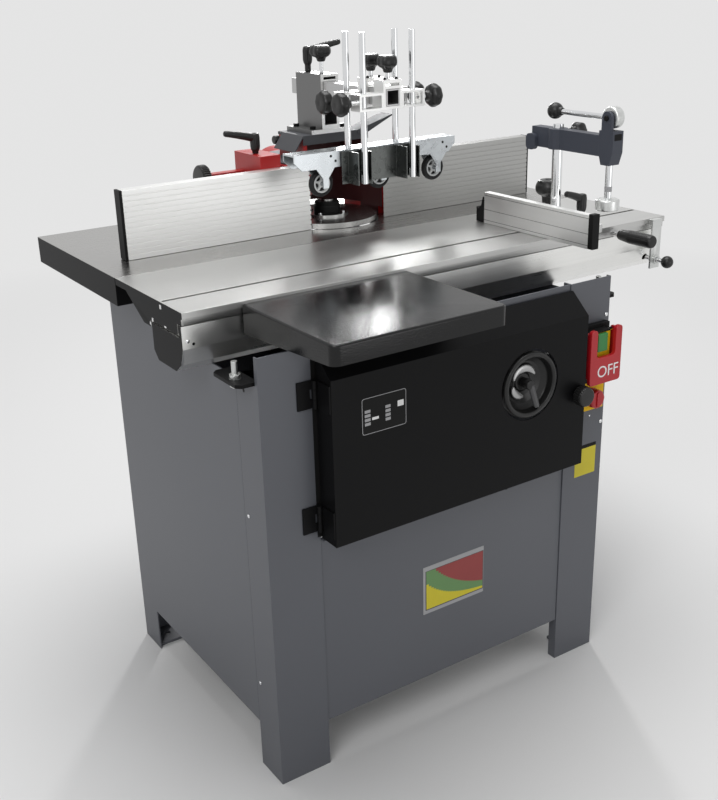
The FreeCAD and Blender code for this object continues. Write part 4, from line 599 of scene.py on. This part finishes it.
def swept(path, wide, tall, up=(0, 0, 1), steps=20):
    """Ellipse carried along a path: wide across it, tall towards `up`; zero widths close an end."""
    path = np.asarray(path, float)
    run = np.gradient(path, axis=0)
    run = run / np.linalg.norm(run, axis=1, keepdims=True)
    side = np.cross(run, up)
    side = side / np.linalg.norm(side, axis=1, keepdims=True)
    top = np.cross(side, run)
    angle = np.linspace(0, 2 * np.pi, steps, endpoint=False)
    across = (np.asarray(wide)[:, None] * np.cos(angle))[..., None] * side[:, None]
    over = (np.asarray(tall)[:, None] * np.sin(angle))[..., None] * top[:, None]
    return skin(path[:, None] + across + over, False, True)


def prism(outline, axis, low, high):
    """An outline of (u, v) points carried from low to high; two end faces close it."""
    along, side, up = AXES[axis]
    outline = np.asarray(outline, float)
    flat = outline[:, :1] * side + outline[:, 1:] * up
    points, faces = skin(np.stack([flat + low * along, flat + high * along], axis=1), True, False)
    ends = [list(range(0, 2 * len(flat), 2)), list(range(1, 2 * len(flat), 2))]
    return points, faces + ends


def box_outline(u, v, radius, steps=5):
    """Rectangle between two (low, high) pairs with quarter circles at its corners."""
    angle = np.arange(4)[:, None] * np.pi / 2 + np.linspace(0, np.pi / 2, steps)[None]
    u_mid = np.array([u[1] - radius, u[0] + radius, u[0] + radius, u[1] - radius])[:, None]
    v_mid = np.array([v[1] - radius, v[1] - radius, v[0] + radius, v[0] + radius])[:, None]
    spots = np.stack([u_mid + radius * np.cos(angle), v_mid + radius * np.sin(angle)], axis=-1)
    return spots.reshape(-1, 2)


def piece(name, parts, body, nodes=(), edge=0.0):
    """One object from (points and faces, material) parts, riding on a body."""
    points, faces, marks, materials = [], [], [], []
    count = 0
    for (spots, sides), material in parts:
        if material not in materials:
            materials.append(material)
        points.append(np.asarray(spots) * MM)
        faces += [[corner + count for corner in side] for side in sides]
        marks += [materials.index(material)] * len(sides)
        count += len(spots)
    mesh = bpy.data.meshes.new(name)
    mesh.from_pydata(np.vstack(points).tolist(), [], faces)
    mesh.polygons.foreach_set("material_index", marks)
    work = bmesh.new()
    work.from_mesh(mesh)
    bmesh.ops.remove_doubles(work, verts=work.verts, dist=1e-7)
    bmesh.ops.recalc_face_normals(work, faces=work.faces)
    work.to_mesh(mesh)
    work.free()
    mesh.shade_smooth()
    mesh.set_sharp_from_angle(angle=SHARP)
    item = bpy.data.objects.new(name, mesh)
    scene.collection.objects.link(item)
    for material in materials:
        mesh.materials.append(material)
    if edge > 0:
        rounded(item, edge * MM)
    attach(item, body)
    if nodes:
        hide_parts(*nodes)
    return item


print("surface kit ready")

# %% [markdown]
# ## Hand knobs
# The pressure device is set with lobed knobs. Each has a moulded head on a thin bright stud. The
# head is one profile turned about the stud, pulled in between its lobes by a cosine; a boolean of
# cylinders would give hard scallops.

# %% Lobed knobs
STUD_R = 4.2
KNOB_HEAD = 22.0


def knob_parts(axis, at, sign, radius, neck, lobes, depth):
    """Head profile above a neck, lobed outside half its radius, and the stud below it."""
    head = [
        (0, neck - 9), (8.0, neck - 9), (9.5, neck - 1), (radius * 0.72, neck + 0.5),
        (radius, neck + 6), (radius, neck + 15), (radius * 0.82, neck + 21.5),
        (radius * 0.35, neck + KNOB_HEAD), (0, neck + KNOB_HEAD - 0.8),
    ]
    head = eased(head, 4.0) * (1, sign)
    stud = np.array([(0, 0.5), (STUD_R, 0.5), (STUD_R, neck - 8), (0, neck - 8)]) * (1, sign)
    shell = turned(head, axis, at, lobes, depth, radius * 0.55, 80)
    return [(shell, knob_black), (turned(stud, axis, at, steps=20), bright_steel)]


TOP_Z, SIDE_Z, SIDE_X = 1144.0, 1107.0, 73.0
BRACKETS = (("front", 4.0), ("rear", 59.0))
for label, y in BRACKETS:
    top = knob_parts("Z", (0, y, TOP_Z), 1, 20.0, 20.0, 5, 0.16)
    piece(label + "_top_lobes", top, label + "_top_knob", [label + "_top_knob"])
    pair = knob_parts("X", (SIDE_X, y, SIDE_Z), 1, 22.0, 20.0, 8, 0.05)
    pair += knob_parts("X", (-SIDE_X, y, SIDE_Z), -1, 22.0, 20.0, 8, 0.05)
    node = label + "_side_knobs"
    piece(label + "_side_lobes", pair, node, [node])
mast_knob = knob_parts("Z", (0, 232, 1141), 1, 22.5, 31.0, 5, 0.16)
piece("column_lobes", mast_knob, "column_knob", ["column_knob"])
print("three lobed knobs and two pairs")

# %% [markdown]
# ## Clamping levers
# Three ratchet levers clamp the carrier, the mast and the mitre body: a ridged hub, and an arm
# that rises away from it and ends round. The arm is an ellipse carried along a slightly curved
# path whose half-widths fall to nothing at its end.

# %% Levers
def lever_parts(at, face, height, length, way):
    """Ridged hub on a stud; arm height rises by 15 t + 4 t(1 - t) along its length t."""
    top = face + height
    neck = max(height - 30, 8)
    hub = [
        (0, 0.5), (6.2, 0.5), (6.2, neck - 4), (8.6, neck), (9.6, neck + 6),
        (9.6, height - 6), (8.4, height), (5.0, height + 1.5), (0, height + 1.5),
    ]
    t = np.linspace(0, 1, 28)
    close = np.sqrt(np.clip(1 - ((t - 0.92) / 0.08).clip(0, 1) ** 2, 0, 1))
    close[0] = 0.0
    x = at[0] + way * length * t
    z = top - 8.5 + 15.0 * t + 4.0 * t * (1 - t)
    path = np.stack([x, np.full_like(t, at[1]), z], axis=1)
    arm = swept(path, (6.6 - 1.2 * t) * close, (8.2 - 2.6 * t) * close)
    shell = turned(eased(hub, 1.6), "Z", (*at, face), 14, 0.07, 9.0, 84)
    return [(shell, knob_black), (arm, knob_black)]


LEVERS = {
    "carrier_lever": ((-160, 230), 1001.0, 38.0, 68.0, -1),
    "column_lever": ((-2, 280), 1141.0, 48.0, 80.0, 1),
    "mitre_lever": ((312, -190), 866.5, 54.5, 44.0, -1),
}
for node, shape in LEVERS.items():
    piece(node + "_arm", lever_parts(*shape), node, [node])
print(len(LEVERS), "levers")

# %% [markdown]
# ## Handwheel
# Behind the round hole in the door sits a black wheel with a deep dish. Two silver crescents ring
# its boss, and a dark lever at its middle locks it. The wheel and the shaft behind it are turned
# profiles; the crescents are arcs whose width swells and closes along their run.

# %% Handwheel
WHEEL = (38.0, 0.0, 647.0)
wheel_rim = eased(
    [(0, -341), (16, -341), (18, -337), (36, -340), (49, -350), (51, -363), (56, -365.5),
     (60.5, -362), (61, -350), (57, -346.5), (50, -346), (18, -335.5), (0, -335.5)], 2.5)
shaft = [(0, -336), (8, -336), (8, 75.8), (27.3, 75.8), (17.3, 85.8), (0, 85.8)]


def crescent(start, end, inner, outer, front):
    """Arc about the wheel's axis; its half-width follows the sine of its run."""
    t = np.linspace(0, 1, 40)
    angle = np.radians(start + (end - start) * t)
    middle, half = (inner + outer) / 2, (outer - inner) / 2
    path = np.stack([WHEEL[0] + middle * np.cos(angle), np.full_like(t, front),
                     WHEEL[2] + middle * np.sin(angle)], axis=1)
    swell = half * np.sqrt(np.sin(np.pi * t).clip(0, 1))
    return swept(path, swell, np.minimum(swell, 3.0), (0, 1, 0))


wheel_parts = [
    (turned(wheel_rim, "Y", WHEEL, steps=72), knob_black),
    (turned(shaft, "Y", WHEEL, steps=32), turned_steel),
    (crescent(20, 165, 18.5, 33.5, -343.5), grip_silver),
    (crescent(185, 268, 18.5, 33.5, -343.5), grip_silver),
]
piece("handwheel_dish", wheel_parts, "handwheel", ["handwheel"])

lock_t = np.linspace(0, 1, 26)
lock_end = np.sqrt(np.clip(1 - ((lock_t - 0.9) / 0.1).clip(0, 1) ** 2, 0, 1))
lock_end[0] = 0.0
lock_path = np.stack([WHEEL[0] + 3.0 + 11.0 * lock_t, -356.0 - 8.0 * lock_t,
                      WHEEL[2] + 4.0 - 49.0 * lock_t], axis=1)
lock_hub = eased([(0, -362), (8.0, -362), (9.2, -359), (9.2, -341.6), (0, -341.6)], 2.0)
lock_parts = [
    (turned(lock_hub, "Y", WHEEL, steps=40), knob_black),
    (swept(lock_path, (6.6 - 1.0 * lock_t) * lock_end, 5.0 * lock_end, (0, 1, 0)), lever_grey),
]
piece("wheel_lock_arm", lock_parts, "wheel_lock", ["wheel_lock_lever"])
print("handwheel ready")

# %% [markdown]
# ## Rollers
# The three wheels under the beam have a black tyre and a pale spoked hub. The tyre and the rim are
# closed profiles turned about the axle. Five spokes join the rim to the boss, and a dark disc
# closes the wheel behind them.

# %% Rollers
ROLLER_Y, ROLLER_Z = 53.0, 961.0
tyre_profile = eased(
    [(16.5, 7), (17.5, 1.6), (22, 0.2), (25, 4), (25, 10), (22, 13.8), (17.5, 12.4), (16.5, 7)], 1.8)
rim_profile = eased([(13.6, 7), (14.2, 1.2), (17.4, 0.9), (17.9, 7), (17.4, 13.1), (14.2, 12.8),
                     (13.6, 7)], 0.8)
boss_profile = eased([(4.4, 0.6), (6.6, 0.6), (7.2, 2.2), (7.2, 11.8), (6.6, 13.4), (4.4, 13.4),
                      (4.4, 0.6)], 0.6)
back_profile = [(4.5, 6), (14.5, 6), (14.5, 8), (4.5, 8), (4.5, 6)]


def spoke(at, turn_by):
    """Flat bar from the boss to the rim, turned about the axle."""
    bar = np.array([(5.5, -2.3), (14.5, -1.7), (14.5, 1.7), (5.5, 2.3)])
    spin = np.array([[math.cos(turn_by), math.sin(turn_by)], [-math.sin(turn_by), math.cos(turn_by)]])
    outline = bar @ spin + (at, ROLLER_Z)
    return prism(outline, "Y", ROLLER_Y + 2.0, ROLLER_Y + 6.2)


for label, x in (("left", -118.0), ("middle", 13.0), ("right", 144.0)):
    at = (x, ROLLER_Y, ROLLER_Z)
    parts = [
        (turned(tyre_profile[:-1], "Y", at, steps=56, ring=True), tyre_black),
        (turned(rim_profile[:-1], "Y", at, steps=48, ring=True), hub_white),
        (turned(boss_profile[:-1], "Y", at, steps=32, ring=True), hub_white),
        (turned(back_profile[:-1], "Y", at, steps=32, ring=True), tyre_black),
    ]
    parts += [(spoke(x, 2 * math.pi * step / 5 + 0.3), hub_white) for step in range(5)]
    node = "roller_" + label
    piece(node + "_wheel", parts, node, [node])
print("three rollers")

# %% [markdown]
# ## Turned grips and knobs
# The push grip, the index plunger, the mushroom knob, the micro-adjuster, the door knob and the
# main switch are all turned. Each is a profile with eased corners; fine lobes give the knurled
# ones their grip.

# %% Grips and knobs
def half_circle(radius, middle, steps):
    """Profile of a ball: (r cos a, middle + r sin a), closed on its axis at both poles."""
    angle = np.linspace(-math.pi / 2, math.pi / 2, steps)
    profile = np.stack([radius * np.cos(angle), middle + radius * np.sin(angle)], axis=1)
    profile[[0, -1], 0] = 0.0
    return profile


GRIP = (399.0, 0.0, 834.0)
grip = eased([(0, -210), (9.0, -210), (10.4, -216), (13.0, -240), (13.0, -290), (11.4, -296.6),
              (0, -296.6)], 3.0)
neck = [(0, -200.2), (7.0, -200.2), (7.0, -210), (0, -210)]
grip_parts = [(turned(grip, "Y", GRIP), knob_black), (turned(neck, "Y", GRIP), bright_steel)]
piece("push_grip_handle", grip_parts, "slide", ["push_grip"])

INDEX = (503.0, 0.0, 768.0)
index_ball = half_circle(12.4, -245, 24)
bolt = [(0, -238), (6.2, -238), (6.2, -233), (4.9, -233), (4.9, -191), (0, -191)]
index_parts = [
    (turned(index_ball, "Y", INDEX), knob_black),
    (turned(bolt, "Y", INDEX, 6, 0.10, 5.5), bright_steel),
]
piece("index_plunger_ball", index_parts, "index_plunger", ["index_plunger"])

mushroom = eased([(0, 866.9), (11, 866.9), (10.5, 890), (12, 912), (21, 915), (25, 922), (25, 931),
                  (19, 942), (7, 943.2), (6, 941), (0, 941)], 4.0)
piece("mitre_knob_head", [(turned(mushroom, "Z", (291, -119, 0), 3, 0.05, 20, 72), knob_black)],
      "mitre_knob", ["mitre_knob"])

MICRO = (-247.0, 265.0, 957.0)
micro = eased([(0, -0.5), (6, -0.5), (6, -5), (26, -5), (29, -8), (29, -20), (26, -23), (0, -23)], 1.6)
piece("micro_knob_rim", [(turned(micro, "X", MICRO, 40, 0.05, 27, 240), knob_black)],
      "micro_knob", ["micro_knob"])

DOOR_KNOB = (156.0, -360.0, 602.0)
door_knob = eased([(0, -0.5), (8, -0.5), (8.5, -3), (17, -4), (19, -7), (19, -20), (16.5, -24.6),
                   (0, -25)], 2.0)
piece("door_knob_head", [(turned(door_knob, "Y", DOOR_KNOB, 24, 0.05, 17.5, 144), knob_black)],
      "door_knob", ["door_knob"])

DIAL = (229.0, -321.0, 567.0)
dial = eased([(0, -0.5), (19, -0.5), (19, -4), (13, -5), (13, -8), (19, -9), (18.4, -18), (15, -20),
              (0, -20)], 1.2)
dial_bar = prism(box_outline((DIAL[0] - 4, DIAL[0] + 4), (DIAL[2] - 15, DIAL[2] + 15), 3.5), "Y",
                 DIAL[1] - 22, DIAL[1] - 19)
piece("rotary_knob_head", [(turned(dial, "Y", DIAL, 8, 0.06, 17), dial_red), (dial_bar, dial_red)],
      "rotary_knob", ["rotary_knob"])
print("grips and knobs ready")

# %% [markdown]
# ## Hold-down clamp
# The eccentric is a thick bright disc on the arm's ear. Its chromed rod ends in a black ball, and
# it presses a plunger with a round foot. A block, a knob and a bolt on the arm complete it.

# %% Clamp pieces
CAM = (266.0, -300.0, 1078.0)
cam_disc = eased([(4.4, -5.8), (17.2, -5.8), (19.0, -4.2), (19.0, 11.2), (17.2, 12.8), (4.4, 12.8)], 1.2)
cam_rod = [(0, -283), (5, -283), (5, -170), (0, -170)]
ball = half_circle(15, -157, 28)
collar = eased([(0, -177), (6.5, -177), (8.5, -170), (0, -166)], 1.5)
ROD_AT = (CAM[0], 0.0, CAM[2])
piece("clamp_lever_ball",
      [(turned(cam_disc, "X", CAM, steps=64, ring=True), zinc_plate),
       (turned(cam_rod, "Y", ROD_AT, steps=28), bright_steel),
       (turned(ball, "Y", ROD_AT), knob_black), (turned(collar, "Y", ROD_AT), knob_black)],
      "clamp_lever", ["clamp_lever"])

FOOT = (266.0, -300.0, 0.0)
foot = eased([(0, 915), (19.5, 915), (21.5, 917), (21.5, 933), (20, 935), (8, 935.4), (0, 935.4)], 1.0)
plunger = [(0, 930), (6.5, 930), (6.5, 1045.8), (0, 1045.8)]
flat = eased([(6.3, 948), (6.7, 948.5), (6.7, 957.5), (6.3, 958)], 0.3)
piece("clamp_plunger_foot",
      [(turned(foot, "Z", FOOT, steps=56), zinc_plate),
       (turned(plunger, "Z", FOOT, steps=32), bright_steel),
       (turned(flat, "Z", FOOT, steps=32, ring=True), mark_grey)],
      "clamp_plunger", ["clamp_plunger"])

tail_block = prism(box_outline((-124, -99), (1004, 1034), 9), "X", 247.0, 255.4)
bolt_head = eased([(0, 0), (5, 0), (5.4, -2.5), (4, -4), (0, -4)], 0.8)
arm_bolt = turned(bolt_head, "X", (253.2, -300, 1078), 6, 0.1, 4.5)
head_slot = prism(box_outline((257, 275), (1040, 1051), 1.5), "Y", -317.3, -316.8)
arm_parts = [(tail_block, arm_grey), (arm_bolt, cap_black), (head_slot, cap_black)]
piece("clamp_arm_block", arm_parts, "clamp_arm", edge=0.2)
side_knob = knob_parts("X", (276.5, -186, 1041), 1, 17.0, 11.0, 6, 0.10)
piece("clamp_arm_knob", side_knob, "clamp_arm")
print("clamp ready")

# %% [markdown]
# ## Spindle hub
# Above the bright disc stands a black hub of rings with small bright screws.

# %% Spindle hub
HUB = (0.0, 230.0, 0.0)
hub = eased([(15.2, 865.1), (27, 865.1), (28, 867), (28, 878.6), (25.6, 880), (25.6, 887), (24, 888.4),
             (15.2, 888.4)], 1.2)
hub_parts = [(turned(hub, "Z", HUB, steps=56, ring=True), cap_black)]
screw = eased([(0, 0), (3.6, 0), (3.6, 3.4), (0, 4)], 0.8)
SCREW_RING, DISC_TOP = 36, 865.0
for step in range(4):
    a = math.radians(35 + 90 * step)
    spot = (SCREW_RING * math.cos(a), HUB[1] + SCREW_RING * math.sin(a), DISC_TOP)
    hub_parts.append((turned(screw, "Z", spot, steps=18), bright_steel))
piece("spindle_hub", hub_parts, "spindle", ["spacer_rings"])
print("spindle hub ready")

# %% [markdown]
# ## Plates and lettering
# The door carries a bordered rating plate with plain marks; the panel a chart of coloured bars;
# the post a plain yellow plate. The stop paddle says OFF. Plates are thin prisms with rounded
# corners; the letters are a text turned into a mesh before it is placed. The paddle itself is an
# outline with eased corners, two prongs beside the start button, and a skirt at each side.

# %% Plates
DOOR_Y, PANEL_Y, POST_Y, PADDLE_Y = -360.0, -313.0, -315.0, -360.0


def bar(x, z, face, lift, radius=0.4):
    """Thin plate on a front face, standing proud by its lift."""
    return prism(box_outline(x, z, radius, 4), "Y", face - lift, face + 0.05)


rating = [
    (bar((-317, -231), (643, 705), DOOR_Y, 0.30, 4), mark_grey),
    (bar((-316, -232), (644, 704), DOOR_Y, 0.36, 3.4), cap_black),
]
for row in range(4):
    z = 658 + 7.2 * row
    rating.append((bar((-312, -301), (z, z + 5), DOOR_Y, 0.42), mark_grey))
    rating.append((bar((-272, -262), (z, z + 5), DOOR_Y, 0.42), mark_grey))
rating.append((bar((-298, -285), (665.5, 670), DOOR_Y, 0.42), mark_white))
rating.append((bar((-248, -236), (677, 687), DOOR_Y, 0.42), mark_white))
piece("rating_plate", rating, "door")

chart = [
    (bar((-163, -22), (229, 327), PANEL_Y, 0.30, 1.0), mark_grey),
    (bar((-158, -22.6), (236, 318), PANEL_Y, 0.36, 0.6), lever_grey),
]
COLUMNS = 24
CHART_LOW, CHART_HIGH = 238.0, 317.0
for column in range(COLUMNS):
    t = column / (COLUMNS - 1)
    x = -156.0 + 5.5 * column
    rise = [0.0, 0.66 * math.exp(-2.4 * t), min(1.0, 1.25 * math.exp(-1.75 * t)), 1.0]
    levels = [CHART_LOW + (CHART_HIGH - CHART_LOW) * share for share in rise]
    for low, high, material in zip(levels[:-1], levels[1:], (mark_yellow, mark_green, mark_red)):
        if high - low > 1.0:
            chart.append((bar((x, x + 5.5), (low, high), PANEL_Y, 0.42, 0.1), material))
piece("speed_chart", chart, "frame")

post_plate = [
    (bar((202, 256), (402, 466), POST_Y, 0.30, 1.0), mark_yellow),
    (bar((202, 256), (459, 466), POST_Y, 0.42, 0.6), cap_black),
]
piece("yellow_plate", post_plate, "frame")
print("three plates")

# %% Stop paddle
paddle_edge = eased(
    [(223, 608), (262, 608), (262, 714), (246, 714), (246, 660), (200, 660), (200, 714), (184, 714),
     (184, 608), (223, 608)], 7.0)
paddle_parts = [(prism(paddle_edge[:-1], "Y", PADDLE_Y, PADDLE_Y + 8), paddle_red)]
for x in (184.0, 257.0):
    skirt = prism(box_outline((-353, -333), (620, 708), 5), "X", x, x + 5)
    paddle_parts.append((skirt, paddle_red))
piece("stop_paddle_plate", paddle_parts, "stop_paddle", ["stop_paddle"], edge=1.0)
print("paddle ready")

# %% Lettering
def lettering(name, words, spot, height, body, material):
    """Text laid flat, made a mesh, turned upright to face the front and placed."""
    curve = bpy.data.curves.new(name, "FONT")
    curve.body = words
    curve.size = height
    curve.extrude = 0.2 * MM
    curve.align_x = "CENTER"
    curve.align_y = "CENTER"
    text = bpy.data.objects.new(name + "_text", curve)
    scene.collection.objects.link(text)
    mesh = bpy.data.meshes.new_from_object(text)
    bpy.data.objects.remove(text)
    upright = Matrix.Translation([c * MM for c in spot]) @ Matrix.Rotation(math.pi / 2, 4, "X")
    mesh.transform(upright)
    item = bpy.data.objects.new(name, mesh)
    scene.collection.objects.link(item)
    dress(item, material)
    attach(item, body)
    return item


LETTERS = (229, PADDLE_Y - 0.1, 631)
lettering("off_letters", "OFF", LETTERS, 31 * MM, "stop_paddle", mark_white)
print("paddle lettered")

# %% [markdown]
# ## End caps and trim
# Black moulded caps close the fences, a rubber strip closes the gap behind the door's hinges, and
# a dark sheet lies on the hood beside and behind its lid, with a small knob next to it.

# %% Caps and trim
fence_end = box_outline((161, 185), (850.7, 977.4), 1.0)
left_cap = prism(fence_end, "X", -476.0, -470.4)
piece("left_fence_cap", [(left_cap, cap_black)], "left_fence", edge=0.6)
right_cap = prism(fence_end, "X", 486.9, 490.5)
piece("right_fence_cap", [(right_cap, cap_black)], "right_fence", edge=0.6)
mitre_cap = prism(box_outline((217.4, 233.6), (850.8, 914.5), 1.5), "Y", -315.0, -303.9)
mitre_block = prism([(-14.2, 851), (10, 851), (10, 880), (4, 877), (-4, 884), (-9, 902), (-14.2, 902)],
                    "X", 218.4, 232.6)
cap_screw = turned(eased([(0, 0), (9, 0), (9, 9), (7, 11), (0, 11)], 1.2), "X", (232.8, -292, 880),
                   12, 0.08, 8, 72)
mitre_ends = [(mitre_cap, cap_black), (mitre_block, cap_black), (cap_screw, knob_black)]
piece("mitre_fence_caps", mitre_ends, "mitre_fence", edge=0.5)
seal = prism(box_outline((-381, -371.5), (462, 782), 0.5), "Y", -315.3, -314.9)
piece("door_seal", [(seal, cap_black)], "frame")
sheet_outline = [(-116, 196), (-66.4, 196), (-66.4, 300.4), (84, 300.4), (84, 338), (70, 350),
                 (-60, 350), (-100, 318), (-116, 290)]
sheet_edge = prism(sheet_outline, "Z", 978.0, 981.0)
piece("hood_back_sheet", [(sheet_edge, lid_grey)], "hood", edge=0.5)
back_knob = turned(eased([(0, 0), (5, 0), (5, -4), (9, -5), (9, -15), (7.5, -17), (0, -17)], 1.2), "X",
                   (-66, 293, 1012), 6, 0.10, 8, 60)
piece("hood_side_knob", [(back_knob, knob_black)], "hood")
print("caps and trim ready")

# %% [markdown]
# ## Small fasteners
# Screw heads are turned domes, the little white tabs on the sliding table's cap are painted
# highlights, and the beam's five holes are shallow black discs of painted shade.

# %% Fasteners
def dome(axis, at, sign, radius, height):
    """Pan head: a low profile with an eased rim."""
    profile = eased([(0, 0), (radius, 0), (radius * 0.94, height * 0.7), (0, height)], radius * 0.25)
    return turned(profile * (1, sign), axis, at, steps=20)


frame_screws = [
    (dome("Y", (265, -315, 506), -1, 4.0, 2.0), bright_steel),
    (dome("Y", (264, -315, 722), -1, 4.0, 2.0), bright_steel),
    (dome("Y", (234.4, -315, 525), -1, 1.8, 1.0), bright_steel),
    (dome("Y", (234, -327, 702), -1, 2.6, 1.4), bright_steel),
    (dome("Y", (30, -313, 431), -1, 3.6, 1.8), cap_black),
    (dome("Y", (-518, -193, 795), -1, 2.6, 0.3), cap_black),
    (dome("Y", (-528, -193, 801), -1, 3.6, 1.6), bright_steel),
    (dome("X", (-475, -268, 730), -1, 3.4, 0.4), cap_black),
    (dome("X", (-475, -256, 506), -1, 3.6, 1.6), bright_steel),
    (dome("X", (-475, -256, 180), -1, 3.6, 1.6), bright_steel),
]
piece("frame_screws", frame_screws, "frame")
# Black discs where the beam's holes are: painted shade.
beam_hole_shades = []
for x, z in ((-106, 1012), (-96, 1002.5), (24.7, 1012), (154.8, 1011), (164.6, 1001)):
    beam_hole_shades.append((dome("Y", (x, 40, z), -1, 2.6, 0.25), cap_black))
piece("beam_hole_shades", beam_hole_shades, "roller_beam")
# White tabs on the cap: painted highlights.
glint_tabs = []
for y, z, wide, tall in ((-122, 842, 6, 7), (-86, 812, 5, 6), (-76, 804, 4, 5), (-135, 812, 7, 3)):
    outline = box_outline((y - wide / 2, y + wide / 2), (z - tall / 2, z + tall / 2), 0.8, 3)
    glint_tabs.append((prism(outline, "X", -538.1, -537.4), mark_white))
piece("cap_glint_tabs", glint_tabs, "slide")
for label, y in BRACKETS:
    heads = [(dome("Z", (x, y - 8, TOP_Z), 1, 3.2, 4.0), cap_black) for x in (-13.0, 13.0)]
    piece(label + "_bracket_screws", heads, label + "_bracket")
print("fasteners ready")

# %% [markdown]
# ## Floor and light
# The machine stands in a pale studio. The floor is a wide disc whose paper goes over into a glow as
# strong as the backdrop, so no horizon shows. A large lamp at the left, a low one in front that the
# left fence mirrors, a tall strip behind that the support plate mirrors, and a broad one above light
# it. The metal mirrors the same pale room that the picture shows.

# %% Studio
BACKDROP = 0.78
AMBIENT = 0.34
FLOOR_REACH = 30.0
FADE_START, FADE_END = 0.6, 3.6


def lamp(name, spot, aim, size, power):
    """A round area lamp at a spot, turned so that it shines at its aim."""
    data = bpy.data.lights.new(name, "AREA")
    data.shape = "DISK"
    data.size = size
    data.energy = power
    item = bpy.data.objects.new(name, data)
    way = Vector(aim) - Vector(spot)
    item.matrix_world = Matrix.Translation(spot) @ way.to_track_quat("-Z", "Y").to_matrix().to_4x4()
    scene.collection.objects.link(item)
    return item


def studio_floor():
    """A disc; its paper goes over into the backdrop's glow with the distance from the middle."""
    angle = np.linspace(0, 2 * np.pi, 97)[:-1]
    rim = np.stack([np.cos(angle), np.sin(angle), 0 * angle], axis=1) * FLOOR_REACH
    mesh = bpy.data.meshes.new("floor")
    mesh.from_pydata(rim.tolist(), [], [list(range(len(rim)))])
    floor = bpy.data.objects.new("floor", mesh)
    scene.collection.objects.link(floor)
    paper = Finish("paper", (BACKDROP,) * 3, 0.9)
    away = paper.node("ShaderNodeVectorMath", {"operation": "LENGTH"}, {0: paper.place}, "Value")
    glow = paper.node("ShaderNodeEmission", None, {"Color": (BACKDROP,) * 3 + (1.0,)})
    share = away.ramp(FADE_START, FADE_END)
    both = {0: share, 1: Wire(paper, paper.shader.outputs[0]), 2: glow}
    mixed = paper.node("ShaderNodeMixShader", None, both)
    paper.tree.links.new(mixed.socket, paper.tree.nodes["Material Output"].inputs["Surface"])
    dress(floor, paper.material)


def studio_world(ambient):
    """The backdrop's strength for what is seen or mirrored, the ambient strength for all else."""
    world = bpy.data.worlds.new("studio")
    world.use_nodes = True
    scene.world = world
    tree = world.node_tree
    path = tree.nodes.new("ShaderNodeLightPath")
    seen = tree.nodes.new("ShaderNodeMath")
    seen.operation = "MAXIMUM"
    tree.links.new(path.outputs["Is Camera Ray"], seen.inputs[0])
    tree.links.new(path.outputs["Is Glossy Ray"], seen.inputs[1])
    level = tree.nodes.new("ShaderNodeMapRange")
    tree.links.new(seen.outputs[0], level.inputs["Value"])
    level.inputs["To Min"].default_value = ambient
    level.inputs["To Max"].default_value = BACKDROP
    tree.links.new(level.outputs[0], tree.nodes["Background"].inputs["Strength"])
    tree.nodes["Background"].inputs["Color"].default_value = (1, 1, 1, 1)


studio_floor()
studio_world(AMBIENT)
MIDDLE = (0.0, 0.0, 0.7)
lamp("key", (-3.0, -2.2, 3.4), MIDDLE, 2.2, 52)
lamp("front", (1.0, -3.2, 0.75), (-0.25, 0.16, 0.9), 1.5, 9)
lamp("top", (0.2, 0.4, 3.8), MIDDLE, 2.6, 75)
strip = lamp("strip", (1.75, 2.75, 1.95), (-0.27, -0.33, 0.85), 1.5, 34)
strip.data.shape = "RECTANGLE"
strip.data.size = 0.30
strip.data.size_y = 1.5
print("studio ready")
